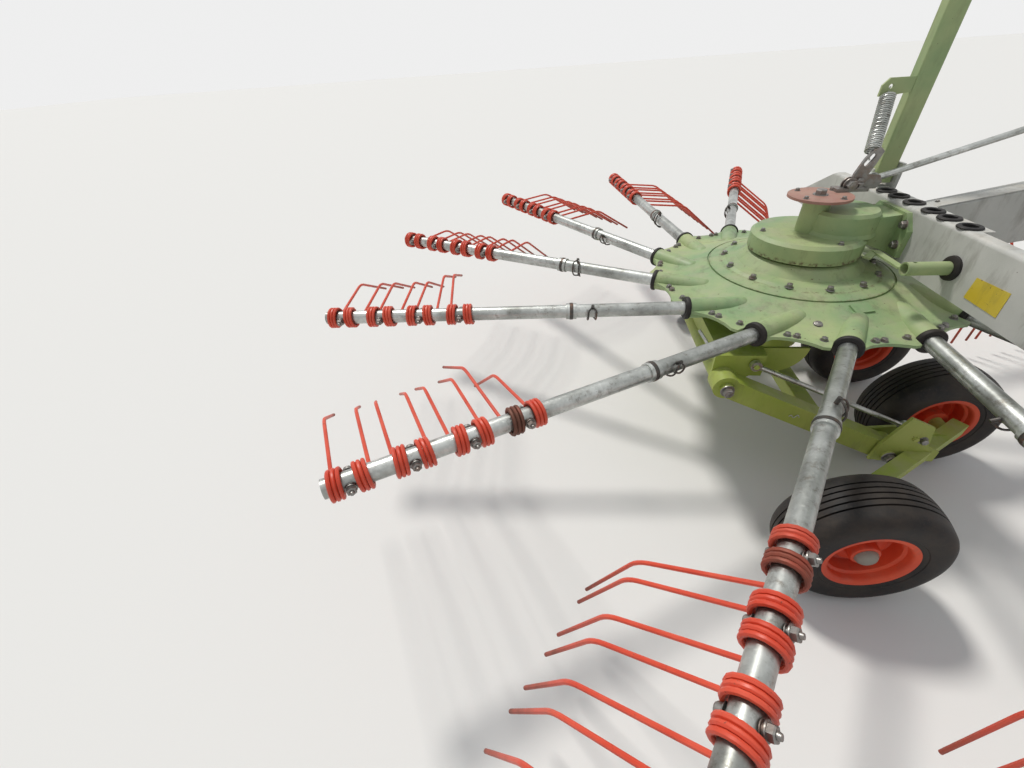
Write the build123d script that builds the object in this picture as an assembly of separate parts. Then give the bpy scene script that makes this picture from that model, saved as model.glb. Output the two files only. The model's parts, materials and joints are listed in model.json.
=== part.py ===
"""Trailed single-rotor rotary rake, folded for transport and parked on its stand.

Millimetres. +X is the way it travels, +Y is its left side, +Z is up, and the wheels
stand on Z = 0. Places below are measured from the rotor's axis, which stands at
ROTOR_X, ROTOR_Y in the model, so that the origin is at the middle of the whole.
The rotor turns anticlockwise seen from above, and its tines trail behind their arms.
"""

import math
import os

from build123d import *

os.makedirs("parts", exist_ok=True)

# Where the rotor's axis stands
ROTOR_X = -225.4
ROTOR_Y = 8.2

# Fits
SEAT_GAP = 0.3
SHAFT_GAP = 0.1
MOVING_GAP = 8.0

# Tine arms, laid off-centre so that each trails its sleeve
ARM_COUNT = 13
FIRST_ARM_AZIMUTH = 72.3
ARM_OFFSET = 222.0
ARM_HEIGHT = 633.0
ARM_DIAMETER = 45.0
ARM_START = 290.0
ARM_REACH = 1668.0
JOINT_AT = 811.0
JOINT_COLLAR_DIAMETER = 54.0
JOINT_COLLAR_WIDTH = 34.0
JOINT_SEAM_WIDTH = 5.0

# Double tines: two coils on one wire
TINE_PAIRS = 4
TINE_PAIR_PITCH = 140.0
OUTER_PAIR_AT = ARM_REACH - 56
COIL_SPACING = 60.0
COIL_WIDTH = 36.0
COIL_DIAMETER = 73.0
WIRE_DIAMETER = 10.0
TINE_LENGTH = 275.0
TINE_TIP_LENGTH = 260.0
TINE_BEND = 23.0
# Slope of each arm's tines below the horizontal, from the first arm on,
# as the cam track has rolled it: nearly level behind, down at the front
TINE_SLOPES = (47.0, 18.0, 7.0, 6.0, 5.0, 11.0, 41.0, 67.0, 70.0, 70.0, 70.0, 70.0, 66.0)
# Tines that broke off: arm, pair from the outermost, and -1 for the inner one of the two
BROKEN_TINES = ((6, 3, -1), (6, 3, 1), (7, 3, -1))

# Rotor head
SLEEVE_START = 262.0
SLEEVE_END = 427.0
SLEEVE_DIAMETER = 66.0
SEAL_RING_DIAMETER = 72.0
SEAL_RING_WIDTH = 12.0
HEAD_RADIUS = 497.0
HEAD_FLANGE = 9.0
HEAD_SHOULDER_RADIUS = 240.0
HEAD_SHOULDER_HEIGHT = ARM_HEIGHT + 57
HEAD_GROOVE_RADIUS = 290.0
HEAD_GROOVE_WIDTH = 6.0
HEAD_TOP_RADIUS = 168.0
HEAD_BOTTOM = ARM_HEIGHT - 21
HEAD_HUB_RADIUS = 110.0
HEAD_HUB_BOTTOM = ARM_HEIGHT - 58
SCALLOP_RADIUS = 150.0
SCALLOP_DEPTH = 24.0
COLUMN_RADIUS = 56.0
COLUMN_BOTTOM = ARM_HEIGHT - 255

# Fixed gearbox on top of the rotor
GEARBOX_BOTTOM = ARM_HEIGHT + 105
GEARBOX_RADIUS = 172.0
GEARBOX_TOP = GEARBOX_BOTTOM + 60
NECK_X = 90.0
NECK_RADIUS = 105.0
NECK_SHOULDER = GEARBOX_TOP + 74
NECK_TOP = GEARBOX_TOP + 107
BOSS_RADIUS = 40.0
DISC_RADIUS = 94.0
DISC_THICKNESS = 8.0
DISC_BOLT_RADIUS = 17.0
DISC_BOLT_HEIGHT = 14.0

# Crossbeam: a pressed tray, open at the front, whose top flange is widened as a rack
CROSSBEAM_BACK = 250.0
CROSSBEAM_DEPTH = 34.0
CROSSBEAM_BOTTOM = ARM_HEIGHT + 80
CROSSBEAM_TOP = CROSSBEAM_BOTTOM + 170
CROSSBEAM_WALL = 6.0
CROSSBEAM_ROUNDING = 12.0
CROSSBEAM_LEFT = 635.0
CROSSBEAM_LEFT_TOP = 420.0
CROSSBEAM_LEFT_HEIGHT = 59.0
CROSSBEAM_RIGHT = -800.0
RACK_FRONT = 315.0
RACK_LEFT = 232.0
RACK_RIGHT = -300.0
RACK_HOLES = (130.0, 60.0, -20.0, -110.0, -180.0, -260.0)
RACK_HOLE_DIAMETER = 42.0
RACK_HOLES_X = 278.0

# Main beam, rising from the crossbeam to the tower
MAIN_BEAM_WIDTH = 78.0
MAIN_BEAM_HEIGHT = 170.0
MAIN_BEAM_REAR_TOP = CROSSBEAM_TOP - 22
MAIN_BEAM_RISE = 11.2

# Tower, drive stub and swivelling three-point headstock
TOWER_BACK = 1840.0
TOWER_DEPTH = 60.0
TOWER_WIDTH = 120.0
SWIVEL_X = 1960.0
SWIVEL_PIN_RADIUS = 20.0
LUG_THICKNESS = 35.0
LUG_RADIUS = 50.0
LUG_GAP = 6.0
HEADSTOCK_REACH = 80.0
HEADSTOCK_BAR = 70.0
HEADSTOCK_LEG = 56.0
LOWER_LINK_HEIGHT = 560.0
LOWER_LINK_SPREAD = 825.0
LOWER_LINK_PIN_RADIUS = 14.0
LOWER_LINK_PIN_LENGTH = 95.0
MAST_HEIGHT = 610.0
UPPER_BAR_DROP = 150.0
UPPER_BAR_HEIGHT = 60.0
TOP_LINK_HOLE_RADIUS = 12.8
TOP_LINK_GAP = 52.0
TOP_EAR = 14.0
DRIVE_HEIGHT = 820.0
DRIVE_RADIUS = 17.4
DRIVE_LENGTH = 80.0
DRIVE_COLLAR = 22.0

# Parking stand
STAND_X = 1790.0
STAND_SIDE = -1
STAND_LEG = 58.0
STAND_TUBE = 72.0
STAND_TUBE_LENGTH = 290.0
STAND_FOOT = 140.0
STAND_FOOT_THICKNESS = 8.0
STAND_GAP = 0.5

# Wheels
TYRE_RADIUS = 205.0
TYRE_WIDTH = 165.0
RIM_RADIUS = 102.0
RIM_FLANGE_RADIUS = 117.0
RIM_WIDTH = 141.0
RIM_FLANGE = 4.0
RIM_WALL = 5.0
# The dish between hub and well: radius, how far its outer face stands out
DISH = ((62.0, 24.0), (74.0, 4.0), (86.0, 4.0))
DISH_SHEET = 8.0
HUB_RADIUS = 38.0
HUB_LENGTH = 110.0
STUB_RADIUS = 20.0
OUTER_WHEEL_X = 0.0
OUTER_WHEEL_Y = 800.0
INNER_WHEEL_X = 505.0
INNER_WHEEL_Y = 245.0

# Carriage under the rotor
SWING_ARM_Y = 430.0
PIVOT_X = -312.0
PIVOT_Z = ARM_HEIGHT - 168
BOGIE_PIN_X = 255.0
PIN_RADIUS = 20.0
SWING_ARM_WIDTH = 60.0
SWING_ARM_HEIGHT = 66.0
SWING_ARM_WALL = 7.0
PLATE = 10.0
YOKE_TOP = ARM_HEIGHT - 85
YOKE_BACK = -345.0
YOKE_FRONT = -190.0
YOKE_DEPTH = 80.0
YOKE_HUB_RADIUS = 92.0
HALF_PLATE_X = -139.0
HALF_PLATE_Y = 345.0
HALF_PLATE_RADIUS = 88.0
BRACE_WIDTH = 54.0
BRACE_HEIGHT = 48.0
BOGIE_BAR_WIDTH = 46.0
BOGIE_BAR_HEIGHT = 44.0
BOGIE_BAR_BACK = (-12.0, 712.0)
BOGIE_BAR_FRONT = (562.0, 322.0)
LINK_ROD_RADIUS = 8.0
LINK_EYE_RADIUS = 17.0
LINK_ROD_Y = 413.0
LINK_REAR = (-224.0, YOKE_TOP - 28)
LINK_FRONT = (303.0, TYRE_RADIUS + 79)

# Side guards, folded up
GUARD_X = 288.0
GUARD_LEFT_Y = 210.0
GUARD_RIGHT_Y = -700.0
GUARD_TUBE_DEPTH = 60.0
GUARD_TUBE_WIDTH = 40.0
GUARD_WALL = 4.0
GUARD_PIVOT_Z = CROSSBEAM_TOP + 47
GUARD_PIVOT_RADIUS = 10.0
GUARD_FOOT = CROSSBEAM_TOP + 12
GUARD_LENGTH = 1560.0
SPRING_LUG_RISE = 286.0
HOOP_RADIUS = 17.0
HOOP_LENGTH = 1300.0
HOOP_LEG = 300.0
HOOP_LEG_ANGLE = 40.0
HOOP_BEND = 90.0

# Slotted lever and stay rod
LEVER_X = 104.0
LEVER_Y = 50.0
STAY_RADIUS = 10.0
STAY_EYE_RADIUS = 24.0
STAY_Y = 80.0
STAY_REAR = (180.0, NECK_TOP + 28)
STAY_FRONT = (1870.0, 1505.0)
TOWER_TOP = STAY_FRONT[1] + 45

TREE = {}


def keep(name, shape):
    """Puts a finished piece in the model's frame under its own name."""
    TREE[name] = Pos(ROTOR_X, ROTOR_Y, 0) * shape


def beam(start, end, profile, up=(0, 0, 1)):
    """A straight bar of one profile between two points, the profile's Y turned to up."""
    start = Vector(*start)
    end = Vector(*end)
    along = (end - start).normalized()
    side = Vector(*up).cross(along).normalized()
    section = Plane(origin=start, x_dir=side, z_dir=along) * profile
    return extrude(section, amount=(end - start).length)


def rod(start, end, radius):
    """A round bar between two points."""
    upright = abs(start[0] - end[0]) + abs(start[1] - end[1]) < 1e-6
    return beam(start, end, Circle(radius), up=(1, 0, 0) if upright else (0, 0, 1))


def rod_across(x, z, y0, y1, radius):
    """A round bar that lies across the machine."""
    return rod((x, min(y0, y1), z), (x, max(y0, y1), z), radius)


def block(x0, x1, y0, y1, z0, z1):
    """A box between its lowest and highest corners."""
    size = Box(x1 - x0, y1 - y0, z1 - z0)
    return Pos((x0 + x1) / 2, (y0 + y1) / 2, (z0 + z1) / 2) * size


def plate_along_y(outline, y0, y1):
    """A flat plate standing lengthwise: an outline of (x, z) points from y0 to y1."""
    face = Plane.XZ * make_face(Polyline(*outline, close=True))
    return Pos(0, max(y0, y1), 0) * extrude(face, amount=abs(y1 - y0))


def turned(points):
    """A body of revolution about Z from an outline of (radius, z) points."""
    return revolve(Plane.XZ * make_face(Polyline(*points, close=True)), Axis.Z)


def turned_about_y(points):
    """A body of revolution about Y from an outline of (radius, y) points."""
    return revolve(make_face(Polyline(*points, close=True)), Axis.Y)


def arm_place(index):
    """Where one arm's own frame stands: X along the arm, Y the way it moves."""
    azimuth = FIRST_ARM_AZIMUTH + index * 360 / ARM_COUNT
    return Rot(0, 0, azimuth) * Pos(0, ARM_OFFSET, ARM_HEIGHT)


def along_arm(start, end, radius):
    """A round bar along an arm's own X."""
    return Pos(start, 0, 0) * Rot(0, 90, 0) * extrude(Circle(radius), amount=end - start)


# Rotor


def tine_arm():
    """One arm with the collar of its pull-apart joint, parted by a seam."""
    middle = JOINT_AT
    collar_half = JOINT_COLLAR_WIDTH / 2
    seam_half = JOINT_SEAM_WIDTH / 2
    collar_radius = JOINT_COLLAR_DIAMETER / 2
    arm = along_arm(ARM_START, ARM_REACH, ARM_DIAMETER / 2)
    for start, end in ((-collar_half, -seam_half), (seam_half, collar_half)):
        arm += along_arm(middle + start, middle + end, collar_radius)
    return arm


def coil(at):
    """One coil as a six-sided sleeve round the arm."""
    outer = RegularPolygon((COIL_DIAMETER - WIRE_DIAMETER / 2) / 2, 6, major_radius=False)
    inner = RegularPolygon(ARM_DIAMETER / 2 + SEAT_GAP, 6, major_radius=False)
    sleeve = extrude(outer - inner, amount=COIL_WIDTH)
    return Pos(at - COIL_WIDTH / 2, 0, 0) * Rot(0, 90, 0) * sleeve


def tine(at):
    """One tine: a straight run off the top of its coil, bent down near its half."""
    height = COIL_DIAMETER / 2 - WIRE_DIAMETER / 2
    bend = math.radians(TINE_BEND)
    elbow = (at, -TINE_LENGTH, height)
    tip_y = elbow[1] - TINE_TIP_LENGTH * math.cos(bend)
    tip_z = elbow[2] - TINE_TIP_LENGTH * math.sin(bend)
    path = Polyline((at, 0, height), elbow, (at, tip_y, tip_z))
    section = Plane(origin=(at, 0, height), z_dir=(0, -1, 0)) * RegularPolygon(WIRE_DIAMETER / 2, 6)
    return sweep(section, path=path, transition=Transition.RIGHT)


def double_tine(arm, pair):
    """Two coils, the loop that joins them, and those of their tines that are still there."""
    half = COIL_SPACING / 2
    gap = half - COIL_WIDTH / 2
    loop_start = ARM_DIAMETER / 2 + SEAT_GAP + 1
    loop_half = WIRE_DIAMETER / 2
    piece = block(-gap, gap, loop_start, loop_start + WIRE_DIAMETER, -loop_half, loop_half)
    for side in (-1, 1):
        piece += coil(side * half)
        if (arm, pair, side) not in BROKEN_TINES:
            piece += tine(side * half)
    return piece


def tine_set(arm):
    """The double tines of one arm, rolled to the slope its cam gives."""
    pieces = []
    for pair in range(TINE_PAIRS):
        spot = Pos(OUTER_PAIR_AT - pair * TINE_PAIR_PITCH, 0, 0)
        pieces.append(arm_place(arm) * spot * Rot(TINE_SLOPES[arm], 0, 0) * double_tine(arm, pair))
    return Compound(children=pieces)


def head_outline():
    """Half the turning head's section: hub, thin flange, low dome, groove and shoulder."""
    rim_low = ARM_HEIGHT - HEAD_FLANGE / 2
    rim_high = ARM_HEIGHT + HEAD_FLANGE / 2
    top = GEARBOX_BOTTOM - MOVING_GAP
    bore = COLUMN_RADIUS + SHAFT_GAP
    groove_in = HEAD_GROOVE_RADIUS - HEAD_GROOVE_WIDTH / 2
    groove_out = HEAD_GROOVE_RADIUS + HEAD_GROOVE_WIDTH / 2
    groove_z = HEAD_SHOULDER_HEIGHT - 14
    return [
        (bore, HEAD_HUB_BOTTOM),
        (HEAD_HUB_RADIUS, HEAD_HUB_BOTTOM),
        (HEAD_HUB_RADIUS, HEAD_BOTTOM),
        (HEAD_RADIUS - 70, HEAD_BOTTOM),
        (HEAD_RADIUS - 50, rim_low),
        (HEAD_RADIUS, rim_low),
        (HEAD_RADIUS, rim_high),
        (HEAD_RADIUS - 62, rim_high + 2),
        (HEAD_RADIUS - 105, rim_high + 8),
        (HEAD_SHOULDER_RADIUS + 90, HEAD_SHOULDER_HEIGHT - 27),
        (groove_out, groove_z - 2),
        (groove_out, groove_z - 7),
        (groove_in, groove_z - 7),
        (groove_in, groove_z),
        (HEAD_SHOULDER_RADIUS + 4, HEAD_SHOULDER_HEIGHT - 4),
        (HEAD_SHOULDER_RADIUS - 8, HEAD_SHOULDER_HEIGHT + 2),
        (HEAD_TOP_RADIUS + 30, HEAD_SHOULDER_HEIGHT + 8),
        (HEAD_TOP_RADIUS + 4, top - 6),
        (HEAD_TOP_RADIUS - 6, top),
        (bore, top),
    ]


def rotor_head():
    """The turning head: a low domed casting with a waved rim and thirteen sleeves."""
    head = turned(head_outline())
    rim = HEAD_RADIUS - SCALLOP_DEPTH
    sleeve_azimuth = math.degrees(math.atan2(ARM_OFFSET, rim))
    scallop = extrude(Circle(SCALLOP_RADIUS), amount=2 * HEAD_FLANGE)
    scallop = Pos(rim + SCALLOP_RADIUS, 0, ARM_HEIGHT - HEAD_FLANGE) * scallop
    radius = SLEEVE_DIAMETER / 2
    nose = Pos(SLEEVE_START, 0, 0) * Sphere(radius)
    sleeve = along_arm(SLEEVE_START, SLEEVE_END, radius) + nose
    mouth = along_arm(SLEEVE_END, HEAD_RADIUS, SEAL_RING_DIAMETER / 2 + 1)
    bore = along_arm(ARM_START - SEAT_GAP, SLEEVE_END + 1, ARM_DIAMETER / 2 + SEAT_GAP)
    first = FIRST_ARM_AZIMUTH + sleeve_azimuth
    turns = [first + (index + 0.5) * 360 / ARM_COUNT for index in range(ARM_COUNT)]
    places = [arm_place(index) for index in range(ARM_COUNT)]
    head = head - [Rot(0, 0, turn) * scallop for turn in turns]
    head = head + [place * sleeve for place in places]
    head = head - [place * mouth for place in places]
    return head - [place * bore for place in places]


def seal_rings():
    """The rubber ring that closes each sleeve's mouth round its arm."""
    end = SLEEVE_END + SEAL_RING_WIDTH
    ring = along_arm(SLEEVE_END, end, SEAL_RING_DIAMETER / 2)
    ring -= along_arm(SLEEVE_END, end, ARM_DIAMETER / 2 + SEAT_GAP)
    return Compound(children=[arm_place(index) * ring for index in range(ARM_COUNT)])


# Fixed head and frame


def gearbox():
    """The fixed casting over the rotor, with its neck and the bracket to the crossbeam."""
    body = turned(
        [
            (0, GEARBOX_BOTTOM),
            (GEARBOX_RADIUS, GEARBOX_BOTTOM),
            (GEARBOX_RADIUS, GEARBOX_TOP - 10),
            (GEARBOX_RADIUS - 12, GEARBOX_TOP),
            (0, GEARBOX_TOP),
        ]
    )
    neck = turned(
        [
            (0, GEARBOX_TOP - 1),
            (NECK_RADIUS + 6, GEARBOX_TOP - 1),
            (NECK_RADIUS, GEARBOX_TOP + 12),
            (NECK_RADIUS - 2, NECK_SHOULDER - 10),
            (NECK_RADIUS - 10, NECK_SHOULDER),
            (0, NECK_SHOULDER),
        ]
    )
    boss = rod((0, 0, GEARBOX_TOP), (0, 0, NECK_TOP), BOSS_RADIUS)
    bracket = [
        (60, GEARBOX_TOP - 20),
        (60, GEARBOX_TOP + 40),
        (CROSSBEAM_BACK - 60, CROSSBEAM_TOP - 28),
        (CROSSBEAM_BACK, CROSSBEAM_TOP - 20),
        (CROSSBEAM_BACK, CROSSBEAM_BOTTOM + 30),
        (CROSSBEAM_BACK - 22, CROSSBEAM_BOTTOM + 30),
        (GEARBOX_RADIUS - 10, GEARBOX_BOTTOM + 30),
    ]
    face = [
        (112, CROSSBEAM_TOP - 60),
        (74, CROSSBEAM_TOP - 14),
        (-74, CROSSBEAM_TOP - 14),
        (-112, CROSSBEAM_TOP - 60),
        (-112, CROSSBEAM_BOTTOM + 28),
        (-48, CROSSBEAM_BOTTOM + 28),
        (-30, CROSSBEAM_BOTTOM + 52),
        (30, CROSSBEAM_BOTTOM + 52),
        (48, CROSSBEAM_BOTTOM + 28),
        (112, CROSSBEAM_BOTTOM + 28),
    ]
    flange = extrude(Plane.YZ * make_face(Polyline(*face, close=True)), amount=-16)
    body += [Pos(NECK_X, 0, 0) * neck, boss, plate_along_y(bracket, -62, 62)]
    return body + Pos(CROSSBEAM_BACK, 0, 0) * flange


def column():
    """The fixed shaft through the rotor that carries the carriage."""
    return rod((0, 0, COLUMN_BOTTOM), (0, 0, GEARBOX_BOTTOM), COLUMN_RADIUS)


def top_disc():
    """The flat disc bolted on the neck."""
    top = NECK_TOP + DISC_THICKNESS
    disc = rod((0, 0, NECK_TOP), (0, 0, top), DISC_RADIUS)
    return disc + Pos(0, 0, top) * extrude(RegularPolygon(DISC_BOLT_RADIUS, 6), amount=DISC_BOLT_HEIGHT)


def slotted_lever():
    """The bent plate on the disc's edge: the spring's slot above, the stay rod's pin in front."""
    base = NECK_TOP + DISC_THICKNESS
    back = [(0, 0), (4, 46), (20, 92), (38, 116), (54, 121)]
    front = [(66, 110), (56, 72), (46, 44), (84, 40), (96, 20), (84, 0)]
    outline = [(LEVER_X + x, base + z) for x, z in back + front]
    plate = plate_along_y(outline, LEVER_Y, LEVER_Y + PLATE)
    slot = extrude(SlotOverall(40, 15), amount=PLATE, both=True)
    plate -= Pos(LEVER_X + 34, LEVER_Y, base + 86) * Rot(90, 0, 0) * Rot(0, 0, 62) * slot
    foot = block(LEVER_X - 50, LEVER_X + 46, LEVER_Y - 34, LEVER_Y + PLATE, base, base + PLATE)
    pin = rod_across(*STAY_REAR, LEVER_Y + PLATE, STAY_Y + 14, STAY_RADIUS)
    return plate + foot + pin


def crossbeam():
    """The tray across the machine, with its rack of holes and the guards' hinge lugs."""
    outline = [
        (CROSSBEAM_LEFT, CROSSBEAM_BOTTOM),
        (CROSSBEAM_LEFT, CROSSBEAM_BOTTOM + CROSSBEAM_LEFT_HEIGHT),
        (CROSSBEAM_LEFT_TOP, CROSSBEAM_TOP),
        (CROSSBEAM_RIGHT, CROSSBEAM_TOP),
        (CROSSBEAM_RIGHT, CROSSBEAM_BOTTOM),
    ]
    web = make_face(Polyline(*outline, close=True))
    tray = Pos(CROSSBEAM_BACK, 0, 0) * extrude(Plane.YZ * web, amount=CROSSBEAM_DEPTH)
    top_edges = tray.edges().filter_by(Axis.Y).group_by(Axis.Z)[-1].sort_by(Axis.X)
    tray = fillet(top_edges[0], CROSSBEAM_ROUNDING)
    inner = offset(web, amount=-CROSSBEAM_WALL, kind=Kind.INTERSECTION)
    tray -= Pos(CROSSBEAM_BACK + CROSSBEAM_WALL, 0, 0) * extrude(Plane.YZ * inner, amount=CROSSBEAM_DEPTH)
    middle_x = CROSSBEAM_BACK + CROSSBEAM_DEPTH / 2
    tray += block(middle_x, RACK_FRONT, RACK_RIGHT, RACK_LEFT, CROSSBEAM_TOP - CROSSBEAM_WALL, CROSSBEAM_TOP)
    for y in RACK_HOLES:
        low = (RACK_HOLES_X, y, CROSSBEAM_TOP - 2 * CROSSBEAM_WALL)
        high = (RACK_HOLES_X, y, CROSSBEAM_TOP + CROSSBEAM_WALL)
        tray -= rod(low, high, RACK_HOLE_DIAMETER / 2)
    for y in (GUARD_LEFT_Y, GUARD_RIGHT_Y):
        tray += hinge_lug(y)
    return tray


def hinge_lug(y):
    """The bracket in front of a guard's foot, with the pin that the guard folds on."""
    face = GUARD_X + GUARD_TUBE_DEPTH / 2 + 5
    low = CROSSBEAM_TOP - 100
    lug = block(CROSSBEAM_BACK, face + PLATE, y - 35, y + 35, low, CROSSBEAM_TOP - CROSSBEAM_WALL)
    lug += block(face, face + PLATE, y - 35, y + 35, low, GUARD_PIVOT_Z + 28)
    pin_start = GUARD_X - GUARD_TUBE_DEPTH / 2 - 6
    return lug + rod((pin_start, y, GUARD_PIVOT_Z), (face, y, GUARD_PIVOT_Z), GUARD_PIVOT_RADIUS)


def main_beam_middle(x):
    """Height of the rising main beam's middle at one place along the machine."""
    rise = math.radians(MAIN_BEAM_RISE)
    half = MAIN_BEAM_HEIGHT / 2 / math.cos(rise)
    return MAIN_BEAM_REAR_TOP - half + (x - CROSSBEAM_BACK - CROSSBEAM_DEPTH) * math.tan(rise)


def main_beam():
    """The long box that rises from the crossbeam to the tower."""
    back = CROSSBEAM_BACK + CROSSBEAM_WALL
    front = CROSSBEAM_BACK + CROSSBEAM_DEPTH
    over = MAIN_BEAM_HEIGHT
    start = (back - over, 0, main_beam_middle(back - over))
    end = (TOWER_BACK + over, 0, main_beam_middle(TOWER_BACK + over))
    box = beam(start, end, RectangleRounded(MAIN_BEAM_WIDTH, MAIN_BEAM_HEIGHT, 6))
    half = MAIN_BEAM_WIDTH / 2
    box &= block(back, TOWER_BACK, -half, half, 0, 2 * CROSSBEAM_TOP)
    return box - block(back, front, -half, half, 0, CROSSBEAM_BOTTOM + CROSSBEAM_WALL)


def stub_tube():
    """The short tube on the crossbeam's back, with a pin hole near its end."""
    y = -310.0
    z = CROSSBEAM_BOTTOM + 75
    stub = rod((130, y, z), (CROSSBEAM_BACK, y, z), 19)
    stub -= rod((129, y, z), (CROSSBEAM_BACK - 40, y, z), 15)
    return stub - rod((150, y, z - 30), (150, y, z + 30), 5)


def stay_rod():
    """The bright rod from the lever up to the tower's top."""
    bar = rod((STAY_REAR[0], STAY_Y, STAY_REAR[1]), (STAY_FRONT[0], STAY_Y, STAY_FRONT[1]), STAY_RADIUS)
    for place in (STAY_REAR, STAY_FRONT):
        bar += rod_across(*place, STAY_Y - 10, STAY_Y + 10, STAY_EYE_RADIUS)
    for place in (STAY_REAR, STAY_FRONT):
        bar -= rod_across(*place, STAY_Y - 11, STAY_Y + 11, STAY_RADIUS + SEAT_GAP)
    return bar


def lower_lug_bottom():
    """Underside of the tower's lower lug, over the headstock's lower bar."""
    return LOWER_LINK_HEIGHT + HEADSTOCK_BAR / 2 + LUG_GAP


def upper_bar_bottom():
    """Underside of the headstock's upper bar."""
    return LOWER_LINK_HEIGHT + MAST_HEIGHT - UPPER_BAR_DROP


def upper_lug_bottom():
    """Underside of the tower's upper lug, under the headstock's upper bar."""
    return upper_bar_bottom() - LUG_GAP - LUG_THICKNESS


def tower():
    """The upright at the beam's front end: swivel lugs, drive housing and stay pin."""
    front = TOWER_BACK + TOWER_DEPTH
    half = TOWER_WIDTH / 2
    post = block(TOWER_BACK, front, -half, half, lower_lug_bottom() - LUG_GAP, TOWER_TOP)
    post = fillet(post.edges().filter_by(Axis.Z), 8)
    for bottom in (lower_lug_bottom(), upper_lug_bottom()):
        top = bottom + LUG_THICKNESS
        post += block(front, SWIVEL_X, -LUG_RADIUS, LUG_RADIUS, bottom, top)
        post += rod((SWIVEL_X, 0, bottom), (SWIVEL_X, 0, top), LUG_RADIUS)
        post -= rod((SWIVEL_X, 0, bottom - 1), (SWIVEL_X, 0, top + 1), SWIVEL_PIN_RADIUS + SHAFT_GAP)
    post += rod((front, 0, DRIVE_HEIGHT), (front + DRIVE_COLLAR, 0, DRIVE_HEIGHT), 48)
    return post + rod_across(*STAY_FRONT, half, STAY_Y + 14, STAY_RADIUS)


def drive_stub():
    """The input shaft's end, where the tractor's drive shaft goes on."""
    start = TOWER_BACK + TOWER_DEPTH + DRIVE_COLLAR
    return rod((start, 0, DRIVE_HEIGHT), (start + DRIVE_LENGTH, 0, DRIVE_HEIGHT), DRIVE_RADIUS)


def headstock():
    """The swivelling frame for the tractor's three links."""
    half = HEADSTOCK_BAR / 2
    plane_x = SWIVEL_X + HEADSTOCK_REACH + half
    shoulder = LOWER_LINK_SPREAD / 2
    collar = 14
    low = LOWER_LINK_HEIGHT
    bar = upper_bar_bottom()
    bar_top = bar + UPPER_BAR_HEIGHT
    ends = ((plane_x, collar - shoulder, low), (plane_x, shoulder - collar, low))
    frame = beam(*ends, RectangleRounded(HEADSTOCK_BAR, HEADSTOCK_BAR, 6))
    for side in (-1, 1):
        frame += rod_across(plane_x, low, side * (shoulder - collar), side * shoulder, 30)
        tip = side * (shoulder + LOWER_LINK_PIN_LENGTH)
        frame += rod_across(plane_x, low, side * shoulder, tip, LOWER_LINK_PIN_RADIUS)
        foot = (plane_x, side * (shoulder - 112), low)
        head = (plane_x, side * (TOP_LINK_GAP / 2 + TOP_EAR + 22), bar_top + 10)
        frame += beam(foot, head, Rectangle(HEADSTOCK_LEG, HEADSTOCK_LEG), up=(1, 0, 0))
    frame += block(plane_x - half, plane_x + half, -150, 150, bar, bar_top)
    radius = LUG_RADIUS - 5
    for z0, z1 in ((low - half, low + half), (bar, bar_top)):
        frame += block(SWIVEL_X, plane_x, -radius, radius, z0, z1)
        frame += rod((SWIVEL_X, 0, z0), (SWIVEL_X, 0, z1), radius)
    for z0, z1 in ((low, lower_lug_bottom() + LUG_THICKNESS), (upper_lug_bottom(), bar + LUG_GAP)):
        frame += rod((SWIVEL_X, 0, z0), (SWIVEL_X, 0, z1), SWIVEL_PIN_RADIUS)
    top = low + MAST_HEIGHT
    ear = [(-35, bar_top - 5), (-30, top + 34), (30, top + 34), (35, bar_top - 5)]
    reach = TOP_LINK_GAP / 2 + TOP_EAR
    for side in (-1, 1):
        outline = [(plane_x + x, z) for x, z in ear]
        frame += plate_along_y(outline, side * TOP_LINK_GAP / 2, side * reach)
    return frame - rod_across(plane_x, top, -reach - 1, reach + 1, TOP_LINK_HOLE_RADIUS)


def stand_tube():
    """The square socket on the beam's right that the stand slides in."""
    y = STAND_SIDE * (MAIN_BEAM_WIDTH + STAND_TUBE) / 2
    bore = STAND_LEG + 2 * STAND_GAP
    profile = RectangleRounded(STAND_TUBE, STAND_TUBE, 5) - Rectangle(bore, bore)
    bottom = main_beam_middle(STAND_X) - STAND_TUBE_LENGTH / 2
    return Pos(STAND_X, y, bottom) * extrude(profile, amount=STAND_TUBE_LENGTH)


def stand_leg():
    """The stand's leg and foot."""
    y = STAND_SIDE * (MAIN_BEAM_WIDTH + STAND_TUBE) / 2
    top = main_beam_middle(STAND_X) + STAND_TUBE_LENGTH / 2 + 30
    profile = Rectangle(STAND_LEG, STAND_LEG) - Rectangle(STAND_LEG - 10, STAND_LEG - 10)
    leg = extrude(profile, amount=top - STAND_FOOT_THICKNESS)
    foot = extrude(RectangleRounded(STAND_FOOT, STAND_FOOT, 12), amount=STAND_FOOT_THICKNESS)
    return Pos(STAND_X, y, 0) * (foot + Pos(0, 0, STAND_FOOT_THICKNESS) * leg)


# Carriage


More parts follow.
